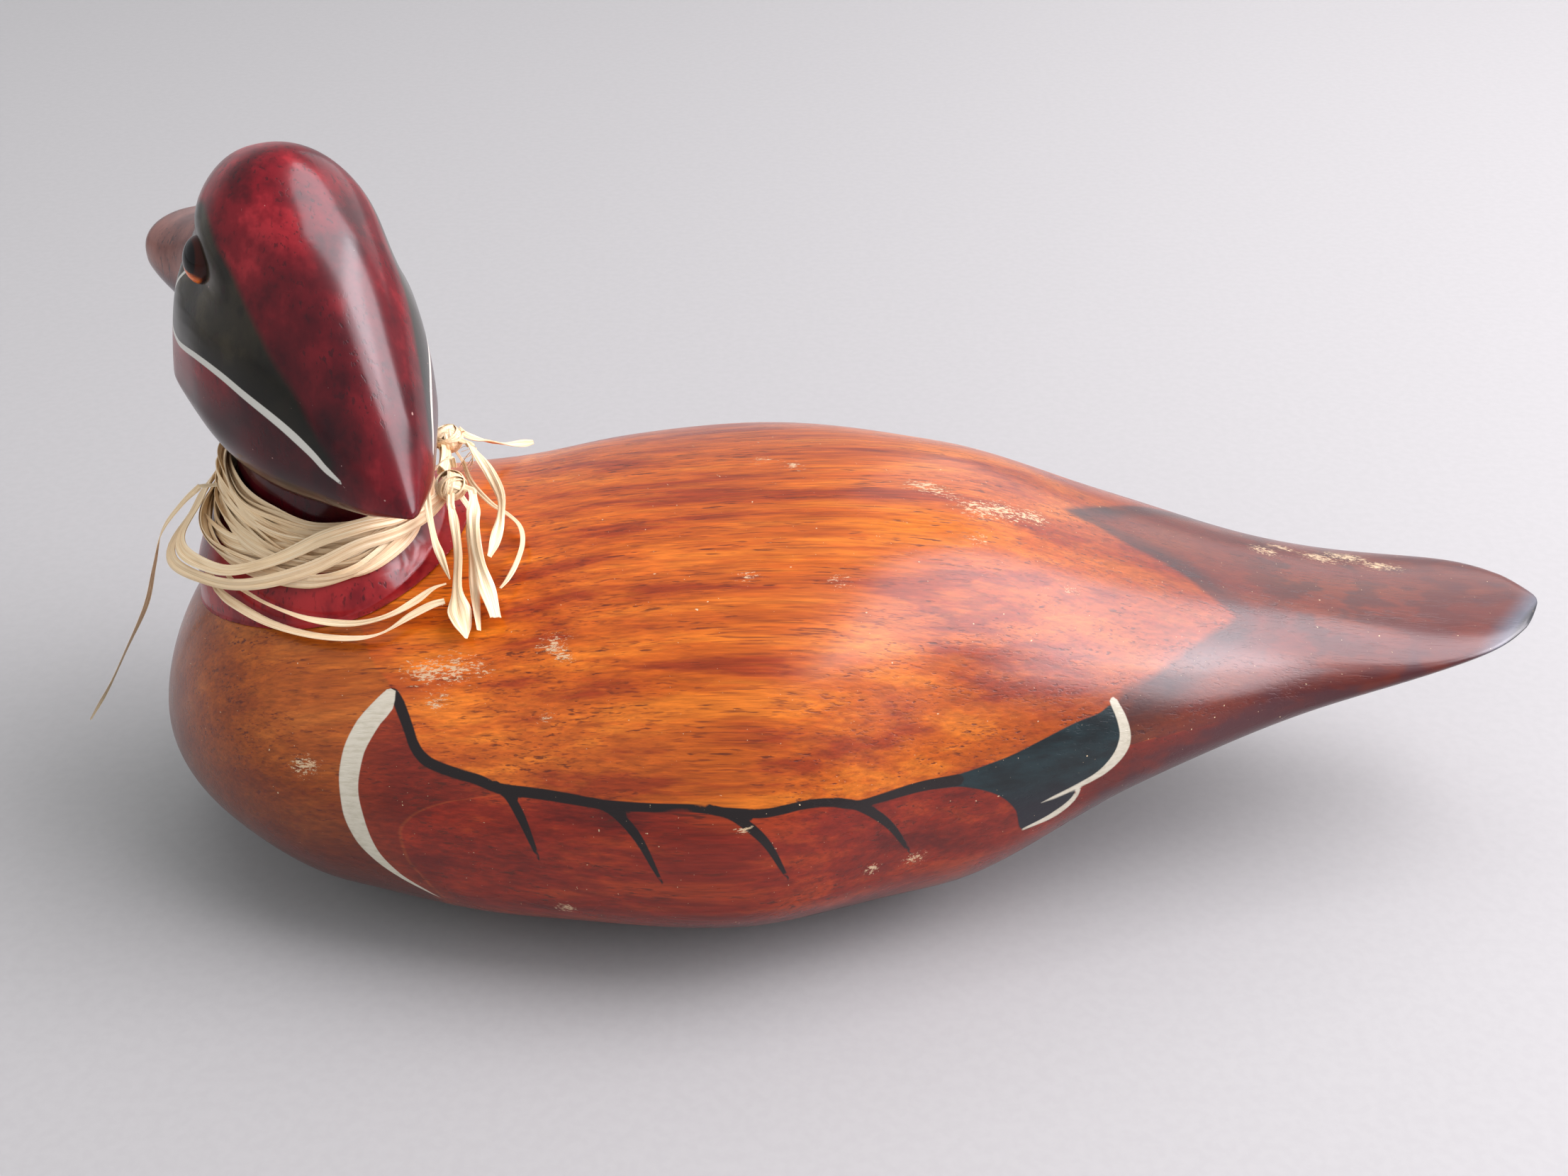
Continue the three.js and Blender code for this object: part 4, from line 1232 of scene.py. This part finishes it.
def add_winding():
    rng = np.random.default_rng(7)
    ribbons = Ribbons()
    degrees = np.arange(0, 360, 2.4)
    radial = round_neck(degrees, 1.0, 0.0) - NECK_AXIS
    top, foot = COLLAR_TOP(degrees), COLLAR_FOOT(degrees)

    # An inner layer closes the band, and outer strands lie across each other on it
    for layer, count, thick in ((0, 9, 1.0), (1, 8, 2.1), (2, 8, 3.2)):
        for i in range(count):
            share = (i + 0.5) / count + rng.uniform(-0.03, 0.03)
            lean = rng.uniform(-0.5, 0.5) * (1 if layer else 0.2)
            phase = rng.uniform(0, 360)
            wave = 0.05 * np.sin(np.radians(degrees) * rng.integers(2, 5) + rng.uniform(0, 6))
            level = share + lean * np.cos(np.radians(degrees - phase)) + wave
            level = 0.06 + 0.88 * np.clip(level, 0.0, 1.0)
            height = foot + level * (top - foot)
            bulge = np.sin(np.pi * level)
            lift = 0.35 * np.sin(np.radians(degrees) * rng.integers(3, 7) + rng.uniform(0, 6))
            reach = neck_reach(degrees, height) + 0.6 + thick * (0.8 + 0.2 * bulge) + 0.5 * layer * lift
            width = rng.uniform(1.9, 3.5) * (1 + 0.25 * np.sin(np.radians(degrees) * 3 + rng.uniform(0, 6)))
            twist = np.sin(np.radians(degrees) * rng.integers(2, 6) + rng.uniform(0, 6))
            twist *= 0.6 if layer else 0.2
            outward = radial + (0, 0, 0.25) * (level[:, None] - 0.4)
            line = round_neck(degrees, reach, height)
            ribbons.add(line, width, outward, twist, closed=True, seed=20 + 15 * layer + i)

    # The two thick strands that bow out over the breast
    for number, winding in enumerate(WINDINGS):
        height = track(winding["height"], blur=5.0)(degrees)
        reach = neck_reach(degrees, height) + track(winding["off_neck"], blur=5.0)(degrees)
        width = 2.7 + 0.4 * np.sin(np.radians(degrees) * 4 + number)
        twist = 0.35 * np.sin(np.radians(degrees) * 2 + 1.3 * number)
        line = round_neck(degrees, reach, height)
        ribbons.add(line, width, radial + (0, 0, 0.5), twist, closed=True, crease=1.2, seed=70 + number)

    # Knots: turns of strand about a small core
    for number, knot in enumerate(KNOTS):
        at, size = np.array(knot["at"]), np.array(knot["size"])
        turn = np.linspace(0, 2 * np.pi, 28, endpoint=False)
        for i in range(8):
            axis = rng.normal(size=3)
            axis /= np.linalg.norm(axis)
            first = np.cross(axis, (0.3, 0.5, 0.8))
            first /= np.linalg.norm(first)
            second = np.cross(axis, first)
            ring = np.cos(turn)[:, None] * first + np.sin(turn)[:, None] * second
            shift = axis * rng.uniform(-0.4, 0.4)
            line = at + (ring * rng.uniform(0.7, 0.95) + shift) * size
            ribbons.add(line, 1.9, ring, 0.0, closed=True, seed=80 + 10 * number + i)

    # The start of each loose strand, coming out of the band or its knot
    for number, strand in enumerate(STRANDS.values()):
        leader, first, second = (np.array(p, float) for p in (strand["leader"], *strand["route"][:2]))
        line = smooth_line([leader, (leader + first) / 2, first, first + 0.25 * (second - first)], 6)
        width = strand["width"] * strand["shape"][0][1] * 0.9
        ribbons.add(line, width, away_from_body(line), 0.0, seed=110 + number)

    # Thin wisps at the far knot
    for i in range(4):
        t = np.linspace(0, 1, 24)
        bow = rng.uniform(2.5, 4.5)
        swing = rng.uniform(0, 6)
        back = 3 + bow * np.sin(t * 3.4 + 0.3 * i) * t**0.5 + 1.2 * i * t
        side = -3 + 1.5 * np.cos(t * 4 + swing)
        line = KNOTS[1]["at"] + np.stack([back, side, -1.0 - 4.2 * t + 1.6 * np.sin(t * 5 + swing)], axis=1)
        ribbons.add(line, 0.35, away_from_body(line), 0.0, crease=1.0, seed=90 + i)
    made = ribbons.build("raffia_winding", RAFFIA)
    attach(made, "root")
    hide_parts("raffia_collar")


add_winding()


# Stage: a pale floor and soft studio light
def add_stage():
    g = Graph("floor")
    paper = g.noise((2.5, 2.5, 2.5), detail=3)
    g.finish(g.ramp(paper, (0.3, (0.355, 0.352, 0.350)), (0.7, (0.368, 0.365, 0.363))), 0.6)
    corners = [(x * 3000, y * 3000, -0.05) for x, y in ((-1, -1), (1, -1), (1, 1), (-1, 1))]
    floor = new_object("floor", corners, [(0, 1, 2, 3)], smooth=False)
    floor.data.materials.append(g.material)

    world = bpy.data.worlds.new("room")
    world.use_nodes = True
    background = world.node_tree.nodes["Background"]
    background.inputs["Color"].default_value = (0.90, 0.92, 0.96, 1)
    background.inputs["Strength"].default_value = 0.55
    bpy.context.scene.world = world


def add_light(name, place, target, size, power, colour=(1, 1, 1), shines=True, lights=True):
    """A soft light; it may be left out of reflections, or be seen in reflections alone."""
    data = bpy.data.lights.new(name, "AREA")
    data.shape = "RECTANGLE"
    data.size, data.size_y = size
    data.energy = power
    data.color = colour
    lamp = bpy.data.objects.new(name, data)
    bpy.context.scene.collection.objects.link(lamp)
    lamp.location = place
    lamp.rotation_euler = (Vector(target) - Vector(place)).to_track_quat("-Z", "Y").to_euler()
    lamp.visible_glossy = shines
    lamp.visible_diffuse = lights


add_stage()
# Where a light stands, what it points at, its size and power. The shines are seen in the varnish alone.
OVER_TAIL = (0.03, 0, 0.05)
AT_HEAD = (-0.09, -0.02, 0.12)
add_light("window", (0.86, 0.06, 1.24), OVER_TAIL, (1.3, 1.2), 24, (1.0, 0.94, 1.0))
add_light("window_shine", (0.85, 0.06, 1.22), OVER_TAIL, (1.2, 1.1), 12, (0.95, 0.92, 1.0), lights=False)
add_light("side", (1.12, -0.22, 0.64), AT_HEAD, (1.2, 0.8), 16, (1.0, 0.95, 1.0))
add_light("side_shine", (1.10, -0.22, 0.63), AT_HEAD, (1.1, 0.7), 10, (1.0, 0.92, 1.0), lights=False)
add_light("rear", (0.75, 1.15, 0.75), (0.08, 0, 0.05), (1.4, 0.9), 5.5, (1.0, 0.95, 0.98))
add_light("top", (-0.25, 0.65, 1.4), (-0.02, 0, 0.05), (1.3, 0.9), 5, shines=False)
add_light("fill", (-1.2, -1.0, 1.1), (-0.05, 0, 0.05), (1.6, 1.4), 7, shines=False)

scene = bpy.context.scene
scene.view_settings.view_transform = "Standard"
scene.view_settings.look = "None"
